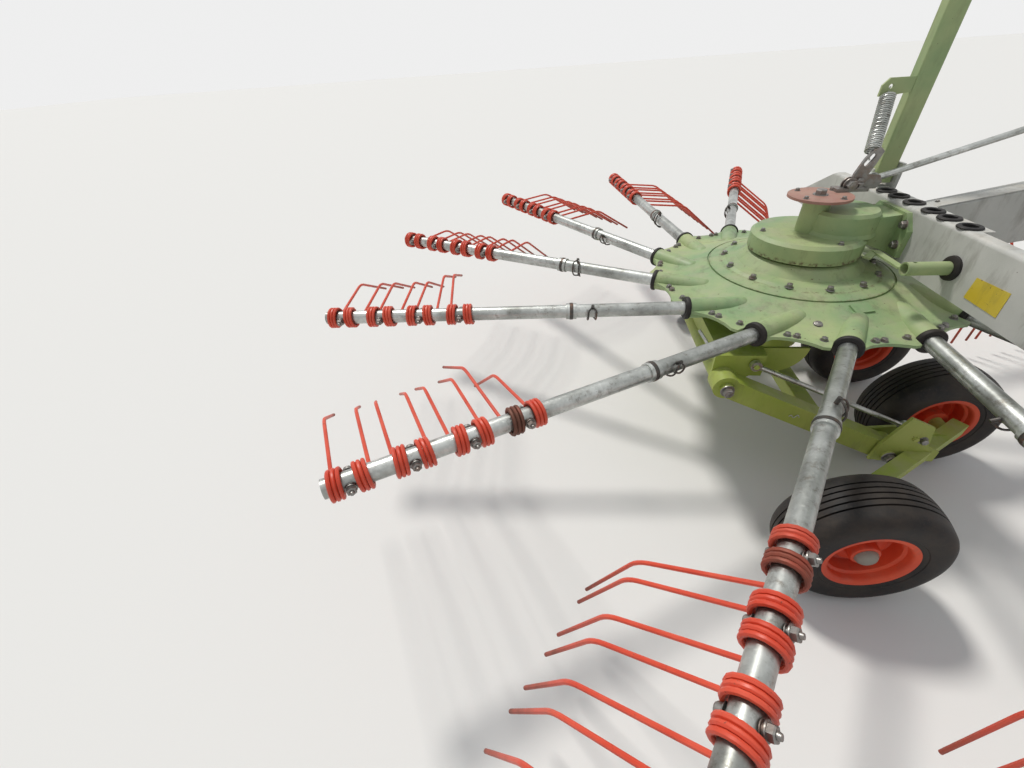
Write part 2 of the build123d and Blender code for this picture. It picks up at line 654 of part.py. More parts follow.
def carriage_head():
    """The yoke under the rotor: a hub on the column, a cross box, end plates and half plates."""
    low = YOKE_TOP - YOKE_DEPTH
    inner = SWING_ARM_Y - SWING_ARM_WIDTH / 2 - SEAT_GAP
    bore_top = HEAD_HUB_BOTTOM - MOVING_GAP - 4
    yoke = rod((0, 0, COLUMN_BOTTOM), (0, 0, bore_top), YOKE_HUB_RADIUS)
    yoke += block(YOKE_FRONT - PLATE, 0, -80, 80, COLUMN_BOTTOM + 55, YOKE_TOP - 5)
    yoke += block(YOKE_BACK + 15, YOKE_FRONT, 5 - inner, inner - 5, low, YOKE_TOP)
    end_plate = [
        (YOKE_BACK, YOKE_TOP),
        (YOKE_BACK, PIVOT_Z - 25),
        (PIVOT_X - 22, PIVOT_Z - 40),
        (PIVOT_X + 22, PIVOT_Z - 40),
        (YOKE_FRONT - 10, low + 25),
        (YOKE_FRONT - 5, YOKE_TOP),
    ]
    for side in (-1, 1):
        yoke += plate_along_y(end_plate, side * (inner - PLATE), side * inner)
        pin_end = side * (SWING_ARM_Y + SWING_ARM_WIDTH / 2 + 14)
        yoke += rod_across(PIVOT_X, PIVOT_Z, side * (inner - 30), pin_end, PIN_RADIUS)
        link_end = side * (LINK_ROD_Y + 12)
        yoke += rod_across(*LINK_REAR, side * (inner - 5), link_end, LINK_ROD_RADIUS)
        start = side * HALF_PLATE_Y
        end = side * (HALF_PLATE_Y + PLATE)
        half_plate = rod_across(HALF_PLATE_X, YOKE_TOP, start, end, HALF_PLATE_RADIUS)
        yoke += half_plate & block(YOKE_BACK, 0, -inner, inner, 0, YOKE_TOP)
    yoke += rod_across(PIVOT_X, PIVOT_Z, 5 - inner, inner - 5, 32)
    return yoke - rod((0, 0, 0), (0, 0, HEAD_HUB_BOTTOM), COLUMN_RADIUS + SEAT_GAP)


def swing_arm(side):
    """One trailing arm, an inverted channel from the yoke down to the bogie's pin."""
    wall = SWING_ARM_WALL
    profile = Rectangle(SWING_ARM_WIDTH, SWING_ARM_HEIGHT)
    profile -= Pos(0, -wall) * Rectangle(SWING_ARM_WIDTH - 2 * wall, SWING_ARM_HEIGHT)
    start = (PIVOT_X, side * SWING_ARM_Y, PIVOT_Z)
    end = (BOGIE_PIN_X, side * SWING_ARM_Y, TYRE_RADIUS)
    arm = beam(start, end, profile)
    y0 = side * SWING_ARM_Y - SWING_ARM_WIDTH / 2
    y1 = side * SWING_ARM_Y + SWING_ARM_WIDTH / 2
    ends = ((PIVOT_X, PIVOT_Z), (BOGIE_PIN_X, TYRE_RADIUS))
    for x, z in ends:
        arm += rod_across(x, z, y0, y1, 2 * PIN_RADIUS)
    for x, z in ends:
        arm -= rod_across(x, z, y0 - 1, y1 + 1, PIN_RADIUS + SEAT_GAP)
    return arm


def arm_brace():
    """The box tube that ties the two trailing arms together, under the rotor's axis."""
    share = (0 - PIVOT_X) / (BOGIE_PIN_X - PIVOT_X)
    z = PIVOT_Z + share * (TYRE_RADIUS - PIVOT_Z)
    y = SWING_ARM_Y - SWING_ARM_WIDTH / 2 - SEAT_GAP
    profile = RectangleRounded(BRACE_WIDTH, BRACE_HEIGHT, 5) - Rectangle(BRACE_WIDTH - 8, BRACE_HEIGHT - 8)
    return beam((0, -y, z), (0, y, z), profile)


def bogie_bar_y(x):
    """How far out the slanting bar's middle stands at one place along the machine."""
    back_x, back_y = BOGIE_BAR_BACK
    front_x, front_y = BOGIE_BAR_FRONT
    return back_y + (front_y - back_y) * (x - back_x) / (front_x - back_x)


def bogie(side):
    """One slanting bar that carries two wheels, with its plates round the arm's pin."""
    back = (BOGIE_BAR_BACK[0], side * BOGIE_BAR_BACK[1], TYRE_RADIUS)
    front = (BOGIE_BAR_FRONT[0], side * BOGIE_BAR_FRONT[1], TYRE_RADIUS)
    bar = beam(back, front, Rectangle(BOGIE_BAR_WIDTH, BOGIE_BAR_HEIGHT))
    inner = SWING_ARM_Y - SWING_ARM_WIDTH / 2 - 4
    outer = SWING_ARM_Y + SWING_ARM_WIDTH / 2 + 4
    half = BOGIE_BAR_HEIGHT / 2
    low = [(-50, -half), (-42, 48), (60, 60), (225, half), (225, -half)]
    peak = [(-50, -half), (-42, 48), (4, 164), (83, 127), (100, 47), (145, half), (145, -half)]
    for outline, y0, y1 in ((low, inner - PLATE, inner), (peak, outer, outer + PLATE)):
        outline = [(BOGIE_PIN_X + x, TYRE_RADIUS + z) for x, z in outline]
        bar += plate_along_y(outline, side * y0, side * y1)
    link = LINK_ROD_Y - LINK_ROD_RADIUS - 4
    for start, place, radius in (
        (inner - PLATE - 8, (BOGIE_PIN_X, TYRE_RADIUS), PIN_RADIUS),
        (link, LINK_FRONT, LINK_ROD_RADIUS),
    ):
        bar += rod_across(*place, side * start, side * (outer + PLATE + 8), radius)
    root = side * bogie_bar_y(OUTER_WHEEL_X)
    hub = side * (OUTER_WHEEL_Y + HUB_LENGTH / 2 - 22)
    bar += rod_across(OUTER_WHEEL_X, TYRE_RADIUS, root, hub, STUB_RADIUS)
    root = side * bogie_bar_y(INNER_WHEEL_X)
    hub = side * (INNER_WHEEL_Y - HUB_LENGTH / 2 + 22)
    return bar + rod_across(INNER_WHEEL_X, TYRE_RADIUS, root, hub, STUB_RADIUS)


def link_rod(side):
    """The thin rod over the trailing arm that keeps the bogie level, an eye at each end."""
    y = side * LINK_ROD_Y
    bar = rod((LINK_REAR[0], y, LINK_REAR[1]), (LINK_FRONT[0], y, LINK_FRONT[1]), LINK_ROD_RADIUS)
    for place in (LINK_REAR, LINK_FRONT):
        bar += rod_across(*place, y - LINK_ROD_RADIUS, y + LINK_ROD_RADIUS, LINK_EYE_RADIUS)
    for place in (LINK_REAR, LINK_FRONT):
        bar -= rod_across(*place, y - LINK_EYE_RADIUS, y + LINK_EYE_RADIUS, LINK_ROD_RADIUS + SEAT_GAP)
    return bar


# Wheels


def tyre():
    """One tyre about Y."""
    half = TYRE_WIDTH / 2
    bead = RIM_RADIUS + SEAT_GAP
    tread = [(TYRE_RADIUS - 17, half - 4), (TYRE_RADIUS, half - 28)]
    side = [(bead, half - 18), (TYRE_RADIUS - 55, half), *tread]
    outline = side + [(radius, -y) for radius, y in reversed(side)]
    return turned_about_y(outline)


def rim(cap_side):
    """One pressed rim with its stepped dish and hub, the cap on one side of Y."""
    half = RIM_WIDTH / 2
    edge = half + RIM_FLANGE
    inside = RIM_RADIUS - RIM_WALL
    hub = HUB_LENGTH / 2
    bore = STUB_RADIUS + SHAFT_GAP
    back = [(radius, out - DISH_SHEET) for radius, out in reversed(DISH)]
    outline = [
        (RIM_RADIUS, -half),
        (RIM_FLANGE_RADIUS, -half),
        (RIM_FLANGE_RADIUS, -edge),
        (inside, -edge),
        (inside, DISH_SHEET),
        *back,
        (HUB_RADIUS, DISH_SHEET),
        (HUB_RADIUS, -hub),
        (bore, -hub),
        (bore, hub - 20),
        (0, hub - 20),
        (0, hub),
        (HUB_RADIUS - 8, hub),
        (HUB_RADIUS, hub - 10),
        (HUB_RADIUS, 2 * DISH_SHEET),
        *DISH,
        (inside, 2 * DISH_SHEET),
        (inside, edge),
        (RIM_FLANGE_RADIUS, edge),
        (RIM_FLANGE_RADIUS, half),
        (RIM_RADIUS, half),
    ]
    shape = turned_about_y(outline)
    return shape if cap_side > 0 else Rot(180, 0, 0) * shape


# Guards


def guard_post(y):
    """One guard's square tube, standing folded on its hinge pin, with the spring's lug."""
    profile = RectangleRounded(GUARD_TUBE_WIDTH, GUARD_TUBE_DEPTH, 5)
    hollow = Rectangle(GUARD_TUBE_WIDTH - 2 * GUARD_WALL, GUARD_TUBE_DEPTH - 2 * GUARD_WALL)
    start = (GUARD_X, y, GUARD_FOOT)
    end = (GUARD_X, y, GUARD_FOOT + GUARD_LENGTH)
    post = beam(start, end, profile - hollow, up=(1, 0, 0))
    back = GUARD_X - GUARD_TUBE_DEPTH / 2
    front = GUARD_X + GUARD_TUBE_DEPTH / 2
    bore = GUARD_PIVOT_RADIUS + SHAFT_GAP
    post -= rod((back - 1, y, GUARD_PIVOT_Z), (front + 1, y, GUARD_PIVOT_Z), bore)
    hole = (back - 63, GUARD_FOOT + SPRING_LUG_RISE)
    outline = [(20, 23), (-10, 23), (-27, 4), (-27, -26), (-12, -26), (63, -18), (63, 23)]
    lug = plate_along_y([(hole[0] + x, hole[1] + z) for x, z in outline], y - 18, y - 10)
    return post + lug - rod_across(*hole, y - 19, y - 9, 7)


def guard_hoop(y):
    """The round bar across the guard's end, its ends turned in towards the machine."""
    z = GUARD_FOOT + GUARD_LENGTH + HOOP_RADIUS
    drop = math.radians(HOOP_LEG_ANGLE)
    half = HOOP_LENGTH / 2
    reach = half + HOOP_LEG * math.cos(drop)
    low = z - HOOP_LEG * math.sin(drop)
    points = [(-reach, low), (-half, z), (half, z), (reach, low)]
    path = FilletPolyline(*[(GUARD_X + x, y, height) for x, height in points], radius=HOOP_BEND)
    section = Plane(origin=path @ 0, z_dir=path % 0) * Circle(HOOP_RADIUS)
    return sweep(section, path=path)


# The whole machine

keep("rotor_head", rotor_head())
keep("tine_arms", Compound(children=[arm_place(index) * tine_arm() for index in range(ARM_COUNT)]))
keep("seal_rings", seal_rings())
for number in range(ARM_COUNT):
    keep(f"tines_{number + 1:02d}", tine_set(number))

keep("gearbox", gearbox())
keep("column", column())
keep("top_disc", top_disc())
keep("slotted_lever", slotted_lever())
keep("crossbeam", crossbeam())
keep("main_beam", main_beam())
keep("stub_tube", stub_tube())
keep("stay_rod", stay_rod())
keep("tower", tower())
keep("drive_stub", drive_stub())
keep("headstock", headstock())
keep("stand_tube", stand_tube())
keep("stand_leg", stand_leg())
keep("carriage_head", carriage_head())
keep("arm_brace", arm_brace())

# Side's name, its sign along Y, its guard's place across
SIDES = (("left", 1, GUARD_LEFT_Y), ("right", -1, GUARD_RIGHT_Y))
for name, side, guard_y in SIDES:
    keep(f"swing_arm_{name}", swing_arm(side))
    keep(f"bogie_{name}", bogie(side))
    keep(f"link_rod_{name}", link_rod(side))
    keep(f"guard_post_{name}", guard_post(guard_y))
    keep(f"guard_hoop_{name}", guard_hoop(guard_y))
    # Wheel's row, its place along and across, and the side its cap faces
    outer = ("outer", OUTER_WHEEL_X, OUTER_WHEEL_Y, side)
    inner = ("inner", INNER_WHEEL_X, INNER_WHEEL_Y, -side)
    for row, x, y, cap_side in (outer, inner):
        keep(f"tyre_{row}_{name}", Pos(x, side * y, TYRE_RADIUS) * tyre())
        keep(f"rim_{row}_{name}", Pos(x, side * y, TYRE_RADIUS) * rim(cap_side))

for name, shape in TREE.items():
    export_step(shape, f"parts/{name}.step")

whole = Compound(children=list(TREE.values())).bounding_box()
print("pieces", len(TREE), "box", whole.min, whole.max)
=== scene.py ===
# %% [markdown]
# # Dressing a single-rotor rotary rake
# The solids of this farm machine are already packed at their real size: a domed rotor head with
# thirteen tine arms, a carriage on four small wheels, a long frame and the folded side guards.
# This lesson gives each surface its finish and adds what a workshop adds last: wound wire, bolts,
# pins, rubber rings, tyre ribs and welds. Nothing that is already there is moved.

# %% Load the fixed frame
import json
import math

import bmesh
import bpy
from mathutils.bvhtree import BVHTree
from mathutils import Matrix, Vector


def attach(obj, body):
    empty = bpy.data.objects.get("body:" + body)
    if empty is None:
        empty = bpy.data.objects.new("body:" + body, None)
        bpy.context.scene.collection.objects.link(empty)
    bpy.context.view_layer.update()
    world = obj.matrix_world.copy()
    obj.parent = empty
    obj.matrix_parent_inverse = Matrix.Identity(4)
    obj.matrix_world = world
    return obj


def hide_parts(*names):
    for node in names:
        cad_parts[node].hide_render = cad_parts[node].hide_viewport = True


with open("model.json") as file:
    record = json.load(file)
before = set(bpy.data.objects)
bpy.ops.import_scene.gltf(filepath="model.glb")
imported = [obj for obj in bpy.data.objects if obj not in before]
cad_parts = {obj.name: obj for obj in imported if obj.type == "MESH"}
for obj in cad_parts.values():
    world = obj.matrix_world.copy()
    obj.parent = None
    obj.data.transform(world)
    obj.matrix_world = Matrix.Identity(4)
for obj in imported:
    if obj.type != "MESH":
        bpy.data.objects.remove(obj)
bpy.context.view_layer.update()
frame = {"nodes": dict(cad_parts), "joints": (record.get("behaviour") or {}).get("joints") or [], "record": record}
nodes = frame["nodes"]

# %% [markdown]
# ## Places to measure from
# Every part of the rake is laid out from the rotor's axis, so the axis is read from the joint that
# turns the rotor. `at` gives a point from there, with its height above the ground. An arm doesn't
# point at the axis: it is shifted sideways, so each arm gets a frame of its own with X along the tube.

# %% Places
joints = {joint["name"]: joint for joint in frame["joints"]}
rotor_centre = Vector(joints["rotor_spin"]["pos_m"])
ARM_COUNT = 13
FIRST_ARM = math.radians(72.3)
ARM_OFFSET = 0.222


def at(x, y, z):
    """A point measured from the rotor's axis, with its height above the ground."""
    return Vector((rotor_centre.x + x, rotor_centre.y + y, z))


def arm_frame(index):
    """One arm's own frame: X along the arm, Y the way it moves."""
    turn = Matrix.Rotation(FIRST_ARM + index * math.tau / ARM_COUNT, 4, "Z")
    return Matrix.Translation(rotor_centre) @ turn @ Matrix.Translation((0, ARM_OFFSET, 0))


print("rotor axis at", [round(value, 4) for value in rotor_centre])

# %% [markdown]
# ## A small kit for materials
# A shader is a graph of nodes. Writing each link in full takes many lines, so this class adds a node,
# sets its inputs by name and links whatever is itself an output. All patterns read Object
# coordinates, which stay glued to a piece when its body turns.

# %% Material kit


def feed(tree, socket, value):
    """Links an output to a socket, or writes a plain value in it."""
    if isinstance(value, bpy.types.NodeSocket):
        tree.links.new(value, socket)
    elif isinstance(value, tuple) and len(value) == 3 and socket.type == "RGBA":
        socket.default_value = (*value, 1)
    else:
        socket.default_value = value


def add(tree, kind, inputs=None, **settings):
    """A node in a tree, with its settings, its inputs linked to outputs or set to values."""
    made = tree.nodes.new(kind)
    for key, value in settings.items():
        setattr(made, key, value)
    for key, value in (inputs or {}).items():
        feed(tree, made.inputs[key], value)
    return made


class Finish:
    """Builds one material, node by node."""

    def __init__(self, name):
        self.material = bpy.data.materials.new(name)
        self.material.use_nodes = True
        self.tree = self.material.node_tree
        self.shader = self.tree.nodes["Principled BSDF"]
        place = self.node("ShaderNodeTexCoord").outputs
        self.place = place["Object"]
        self.normal = place["Normal"]

    def node(self, kind, inputs=None, **settings):
        """A node of this material."""
        return add(self.tree, kind, inputs, **settings)

    def noise(self, scale, detail=4.0, stretch=None, roughness=0.55):
        """Cloudy noise from 0 to 1, `scale` blotches to the metre."""
        vector = self.place
        if stretch:
            vector = self.node("ShaderNodeMapping", {"Vector": vector, "Scale": stretch}).outputs[0]
        settings = {"Vector": vector, "Scale": scale, "Detail": detail, "Roughness": roughness}
        return self.node("ShaderNodeTexNoise", settings).outputs["Fac"]

    def ramp(self, value, low, high, start=0.0, end=1.0):
        """A value spread from low..high to start..end, and held inside that."""
        inputs = {"Value": value, "From Min": low, "From Max": high, "To Min": start, "To Max": end}
        return self.node("ShaderNodeMapRange", inputs).outputs[0]

    def math(self, operation, a, b=0.0):
        """One sum on two values."""
        return self.node("ShaderNodeMath", {0: a, 1: b}, operation=operation).outputs[0]

    def mix(self, share, a, b):
        """Colour a, going over to colour b with its share."""
        return self.node("ShaderNodeMix", {0: share, 6: a, 7: b}, data_type="RGBA").outputs[2]

    def upward(self):
        """How far the surface looks up, from -1 to 1."""
        return self.node("ShaderNodeSeparateXYZ", {0: self.normal}).outputs[2]

    def finish(self, colour, roughness, metallic=0.0, specular=0.5, relief=None, depth=0.001):
        """Wires the shader and returns the material."""
        inputs = {"Base Color": colour, "Roughness": roughness, "Metallic": metallic}
        inputs["Specular IOR Level"] = specular
        if relief is not None:
            bump = self.node("ShaderNodeBump", {"Height": relief, "Distance": depth, "Strength": 0.6})
            inputs["Normal"] = bump.outputs[0]
        for name, value in inputs.items():
            feed(self.tree, self.shader.inputs[name], value)
        return self.material


print("kit ready")

# %% [markdown]
# ## Old paint
# Field machines live outdoors. Their paint fades in clouds, dust lies on whatever looks up, dirt
# runs in streaks, and small chips show dark rust. One function makes all the paints from a colour,
# its faded tone and how much of each it has.

# %% Paints
DUST = (0.42, 0.36, 0.27)
SOIL = (0.10, 0.075, 0.05)
RUST = (0.10, 0.045, 0.025)


def ring_of_dirt_and_shade(paint, radius, height, half):
    """How much of a patchy dark band lies near a circle round the rotor's axis at a height, as in a seam: dirt,
    with painted shade where the circle runs in a corner.
    """
    flat = paint.node("ShaderNodeVectorMath", {0: paint.place, 1: (1, 1, 0)}, operation="MULTIPLY")
    ends = {0: flat.outputs[0], 1: tuple(at(0, 0, 0))}
    out = paint.node("ShaderNodeVectorMath", ends, operation="DISTANCE").outputs["Value"]
    up = paint.node("ShaderNodeSeparateXYZ", {0: paint.place}).outputs[2]
    off_height = paint.math("ABSOLUTE", paint.math("SUBTRACT", up, height))
    off_radius = paint.math("ABSOLUTE", paint.math("SUBTRACT", out, radius))
    near = paint.ramp(paint.math("MAXIMUM", off_height, off_radius), half, half * 0.2)
    patchy = paint.ramp(paint.noise(60, detail=7, roughness=0.7), 0.46, 0.60)
    return paint.math("MULTIPLY", near, patchy)


def weathered_paint(name, colour, faded, dust=0.35, chips=0.5, roughness=0.5, streaky=0.55, seams=()):
    """Paint that has faded in clouds, with dust on top, streaks of soil and chips of rust."""
    paint = Finish(name)
    clouds = paint.noise(5, detail=5)
    tone = paint.mix(paint.ramp(clouds, 0.38, 0.68), colour, faded)
    streaks = paint.noise(16, detail=6, stretch=(1.0, 1.0, 0.25), roughness=0.7)
    tone = paint.mix(paint.ramp(streaks, 0.54, 0.78, 0.0, streaky), tone, SOIL)
    looking_up = paint.ramp(paint.upward(), 0.35, 0.95)
    settled = paint.math("MULTIPLY", looking_up, paint.ramp(paint.noise(22, detail=8), 0.42, 0.7))
    tone = paint.mix(paint.math("MULTIPLY", settled, dust), tone, DUST)
    flakes = paint.noise(70, detail=7, roughness=0.75)
    chip_and_shade = paint.ramp(flakes, 0.735 - 0.05 * chips, 0.75 - 0.05 * chips)
    # Seam bands join the chips: cracked paint at the seams, and painted shade with dirt where the gearbox stands
    # on the head
    for seam in seams:
        chip_and_shade = paint.math("MAXIMUM", chip_and_shade, ring_of_dirt_and_shade(paint, *seam))
    tone = paint.mix(chip_and_shade, tone, RUST)
    gloss = paint.ramp(clouds, 0.3, 0.7, roughness - 0.08, roughness + 0.14)
    relief = paint.math("SUBTRACT", paint.noise(240, detail=3), chip_and_shade)
    return paint.finish(tone, gloss, relief=relief, depth=0.0006)


# Circles round the rotor's axis with a patchy dark band: radius, height and half width. Two are paint that has
# cracked at seams; the one at the gearbox's foot is dirt with painted shade under its flange
HEAD_SEAMS = ((0.290, 0.681, 0.009), (0.172, 0.742, 0.010), (0.250, 0.688, 0.006))
PAINTS = {
    "head_green": weathered_paint("pale green paint", (0.27, 0.37, 0.17), (0.42, 0.47, 0.23), chips=1.5),
    # The castings' darker green is painted shade: the head's green at the tone it has in shade
    "shaded_casting_green": weathered_paint(
        "shaded casting paint", (0.22, 0.34, 0.16), (0.39, 0.45, 0.21), chips=1.8, streaky=0.7, seams=HEAD_SEAMS
    ),
    "carriage_green": weathered_paint(
        "yellow-green paint", (0.29, 0.36, 0.055), (0.38, 0.42, 0.10), chips=1.3
    ),
    "frame_grey": weathered_paint(
        "light grey paint", (0.47, 0.47, 0.44), (0.60, 0.59, 0.56), chips=0.8, streaky=0.6
    ),
    "rim_red": weathered_paint(
        "rim red paint", (0.58, 0.045, 0.012), (0.72, 0.09, 0.03), dust=0.15, chips=0.2
    ),
    "rusty_red": weathered_paint(
        "rusty red disc paint", (0.30, 0.13, 0.10), (0.42, 0.23, 0.18), chips=1.6
    ),
    "dusty_cap": weathered_paint(
        "dusty cap metal", (0.20, 0.18, 0.15), (0.32, 0.30, 0.25), dust=0.6, roughness=0.38
    ),
    "plate_yellow": weathered_paint(
        "faded yellow film", (0.60, 0.43, 0.02), (0.66, 0.52, 0.08), dust=0.6, chips=2.4
    ),
}
print("paints:", sorted(PAINTS))

# %% [markdown]
# ## Zinc, steel and rubber
# Hot-dip zinc freezes in flat crystals, which a Voronoi pattern gives: each cell has its own grey
# and its own gloss. Bare steel is darker and brushed by use. Rubber is nearly black, and grey with
# dust where the ground or the hand has rubbed it.

# %% Metals and rubber


def galvanised(name, bright, dull, stain):
    """Zinc coating with its crystals, dull clouds and a little brown stain."""
    zinc = Finish(name)
    crystals = zinc.node("ShaderNodeTexVoronoi", {"Vector": zinc.place, "Scale": 140})
    cell = zinc.node("ShaderNodeSeparateColor", {0: crystals.outputs["Color"]}).outputs[0]
    clouds = zinc.noise(9, detail=6)
    tone = zinc.mix(zinc.ramp(clouds, 0.35, 0.7), bright, dull)
    tone = zinc.mix(zinc.math("MULTIPLY", cell, 0.22), tone, dull)
    marks = zinc.noise(38, detail=9, roughness=0.75)
    tone = zinc.mix(zinc.ramp(marks, 0.53, 0.72, 0.0, stain), tone, SOIL)
    gloss = zinc.math("ADD", zinc.ramp(cell, 0, 1, 0.26, 0.36), zinc.ramp(clouds, 0.3, 0.8, 0, 0.14))
    return zinc.finish(tone, gloss, metallic=0.95, relief=zinc.math("ADD", cell, marks), depth=0.0003)


def bare_steel(name, light, dark, rusty):
    """Dark bare steel with brushed marks and rust in its hollows."""
    steel = Finish(name)
    brushed = steel.noise(60, detail=6, stretch=(1.0, 6.0, 1.0))
    tone = steel.mix(brushed, light, dark)
    bloom = steel.ramp(steel.noise(30, detail=8, roughness=0.7), 0.5, 0.68, 0.0, rusty)
    tone = steel.mix(bloom, tone, (0.20, 0.085, 0.04))
    gloss = steel.math("ADD", steel.ramp(brushed, 0.2, 0.8, 0.32, 0.46), steel.math("MULTIPLY", bloom, 0.35))
    metallic = steel.ramp(bloom, 0, 1, 0.9, 0.15)
    return steel.finish(tone, gloss, metallic=metallic, relief=brushed, depth=0.0004)


def dusty_rubber(name, black, dust):
    """Black rubber with dry dust rubbed into it."""
    rubber = Finish(name)
    film = rubber.ramp(rubber.noise(12, detail=9, roughness=0.7), 0.36, 0.74, 0.0, dust)
    specks = rubber.ramp(rubber.noise(150, detail=4), 0.55, 0.75, 0.0, dust * 0.8)
    tone = rubber.mix(rubber.math("MAXIMUM", film, specks), black, (0.12, 0.09, 0.065))
    gloss = rubber.ramp(film, 0, 1, 0.55, 0.85)
    grain = rubber.noise(400, detail=3)
    return rubber.finish(tone, gloss, specular=0.3, relief=grain, depth=0.0004)


METALS = {
    "galvanised": galvanised("galvanised steel", (0.60, 0.62, 0.60), (0.22, 0.23, 0.215), 0.85),
    "bare_steel": bare_steel("bare steel", (0.34, 0.33, 0.31), (0.16, 0.155, 0.15), 0.55),
    # Dark wire also colours the arms' seam rings, where its darkness is painted shade of the joints' gaps
    "dark_wire_and_shade": bare_steel("dark wire and painted shade", (0.12, 0.115, 0.11), (0.045, 0.04, 0.035), 0.7),
    "tyre": dusty_rubber("tyre rubber", (0.007, 0.007, 0.008), 0.36),
    "seal": dusty_rubber("seal rubber", (0.010, 0.010, 0.011), 0.25),
}
print("metals and rubbers:", sorted(METALS))

# %% [markdown]
# ## Spring wire paint
# The tines are dipped in bright red paint. Hay polishes it off towards their tips, where brown
# steel shows. The wire carries an attribute named `worn`, from 0 at the coil to 1 at the tip, and
# the finish breaks its edge up with noise.

# %% Wire paint


def wire_paint(name, colour, faded, worn_steel):
    """Red dipped paint that gives way to brown steel where the wire says it is worn."""
    paint = Finish(name)
    worn = paint.node("ShaderNodeAttribute", attribute_name="worn").outputs["Fac"]
    clouds = paint.noise(14, detail=6)
    tone = paint.mix(paint.ramp(clouds, 0.35, 0.7), colour, faded)
    scuffs = paint.ramp(paint.noise(120, detail=6, roughness=0.7), 0.62, 0.70)
    bare = paint.ramp(paint.math("ADD", worn, paint.ramp(clouds, 0.3, 0.7, -0.15, 0.15)), 0.62, 1.15)
    bare = paint.math("MAXIMUM", bare, paint.math("MULTIPLY", scuffs, 0.75))
    tone = paint.mix(bare, tone, worn_steel)
    gloss = paint.ramp(bare, 0, 1, 0.42, 0.6)
    return paint.finish(tone, gloss, metallic=paint.math("MULTIPLY", bare, 0.4), relief=bare, depth=-0.0004)


METALS["tine_red"] = wire_paint(
    "red dipped wire", (0.62, 0.055, 0.022), (0.74, 0.10, 0.05), (0.14, 0.055, 0.035)
)
FINISHES = {**PAINTS, **METALS}
print("finishes:", len(FINISHES))

# %% [markdown]
# ## Finishes on the imported solids
# The imported record says which finish each solid takes, by the name of its slot. The two raw castings take a
# darker green, which is painted shade of the head, with cracked paint in their seams and, at the gearbox's foot,
# dirt with painted shade. A loop hands the finishes out, so that no solid is left plain.

# %% Dress the solids
CASTINGS = ("rotor_head", "gearbox")
slot_of = {part["node"]: part["material_slot"] for part in frame["record"]["subparts"]}
for node_name, node in nodes.items():
    node.data.materials.clear()
    # The castings take the darker green, which is painted shade
    finish = "shaded_casting_green" if node_name in CASTINGS else slot_of[node_name]
    node.data.materials.append(FINISHES[finish])
print("solids dressed:", len(slot_of))

# %% [markdown]
# ## Turning a mesh into a piece
# Every made piece ends the same way: its mesh gets its place, a finish, smooth shading by angle, and
# the name of the body it rides on. One helper does this, so that no piece is forgotten or left
# behind when a body turns. Finishes are named, and the object itself stays at the origin.

# %% Finish a piece
SMOOTH_BELOW = math.radians(38)


def new_object(name, data):
    """An object for a mesh, a lamp or a camera, in the scene, at the origin."""
    made = bpy.data.objects.new(name, data)
    bpy.context.scene.collection.objects.link(made)
    return made


def mesh_from(name, points, faces, edges=(), weld=False):
    """A mesh from points and faces, its faces turned outwards; `weld` merges its doubles first."""
    mesh = bpy.data.meshes.new(name)
    mesh.from_pydata([tuple(point) for point in points], list(edges), list(faces))
    if faces:
        shell = bmesh.new()
        shell.from_mesh(mesh)
        if weld:
            bmesh.ops.remove_doubles(shell, verts=shell.verts, dist=1e-6)
        bmesh.ops.recalc_face_normals(shell, faces=shell.faces)
        shell.to_mesh(mesh)
        shell.free()
    return mesh


def joined(name, meshes):
    """One mesh out of several."""
    whole = bmesh.new()
    for mesh in meshes:
        whole.from_mesh(mesh)
    result = bpy.data.meshes.new(name)
    whole.to_mesh(result)
    whole.free()
    return result


def piece(name, mesh, finish, body, slot=None, replaces=()):
    """Hands a mesh or a list of them over. Its slot argument is not used."""
    if isinstance(mesh, list):
        mesh = joined(name, mesh)
    mesh.materials.clear()
    mesh.materials.append(FINISHES[finish])
    mesh.shade_smooth()
    mesh.set_sharp_from_angle(angle=SMOOTH_BELOW)
    made = new_object(name, mesh)
    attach(made, body)
    slot = slot or finish
    if replaces:
        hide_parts(*replaces)
    print(name, "faces:", len(mesh.polygons), "rides on", body)
    return made


print("piece kit ready")

# %% [markdown]
# ## A tree that bends wire
# Spring wire, clips and weld beads are all one thing: a round section that follows a path. This
# Geometry Nodes tree turns a mesh of edges into a curve and sweeps a circle along it. The sizes are
# named inputs, so one tree serves them all, and whatever attribute the path carries, such as
# `worn`, goes along to the wire's surface.

# %% Tree for wire


def tree_with(name, sockets):
    """An empty tree with a mesh input and output, and named inputs for its sizes."""
    tree = bpy.data.node_groups.new(name, "GeometryNodeTree")
    tree.interface.new_socket("Geometry", in_out="INPUT", socket_type="NodeSocketGeometry")
    tree.interface.new_socket("Geometry", in_out="OUTPUT", socket_type="NodeSocketGeometry")
    for label, kind in sockets:
        tree.interface.new_socket(label, in_out="INPUT", socket_type=kind)
    return tree, tree.nodes.new("NodeGroupInput").outputs, tree.nodes.new("NodeGroupOutput").inputs


def realised(tree, instances, material, output):
    """The end of every tree here: real mesh instead of instances, with its material."""
    real = add(tree, "GeometryNodeRealizeInstances", {0: instances})
    dressed = add(tree, "GeometryNodeSetMaterial", {"Geometry": real.outputs[0], "Material": material})
    tree.links.new(dressed.outputs[0], output)


def total(tree, a, b, operation="ADD"):
    """One sum inside a tree."""
    return add(tree, "ShaderNodeMath", {0: a, 1: b}, operation=operation).outputs[0]


LENGTH = "NodeSocketFloat"
COUNT = "NodeSocketInt"
FINISH = "NodeSocketMaterial"

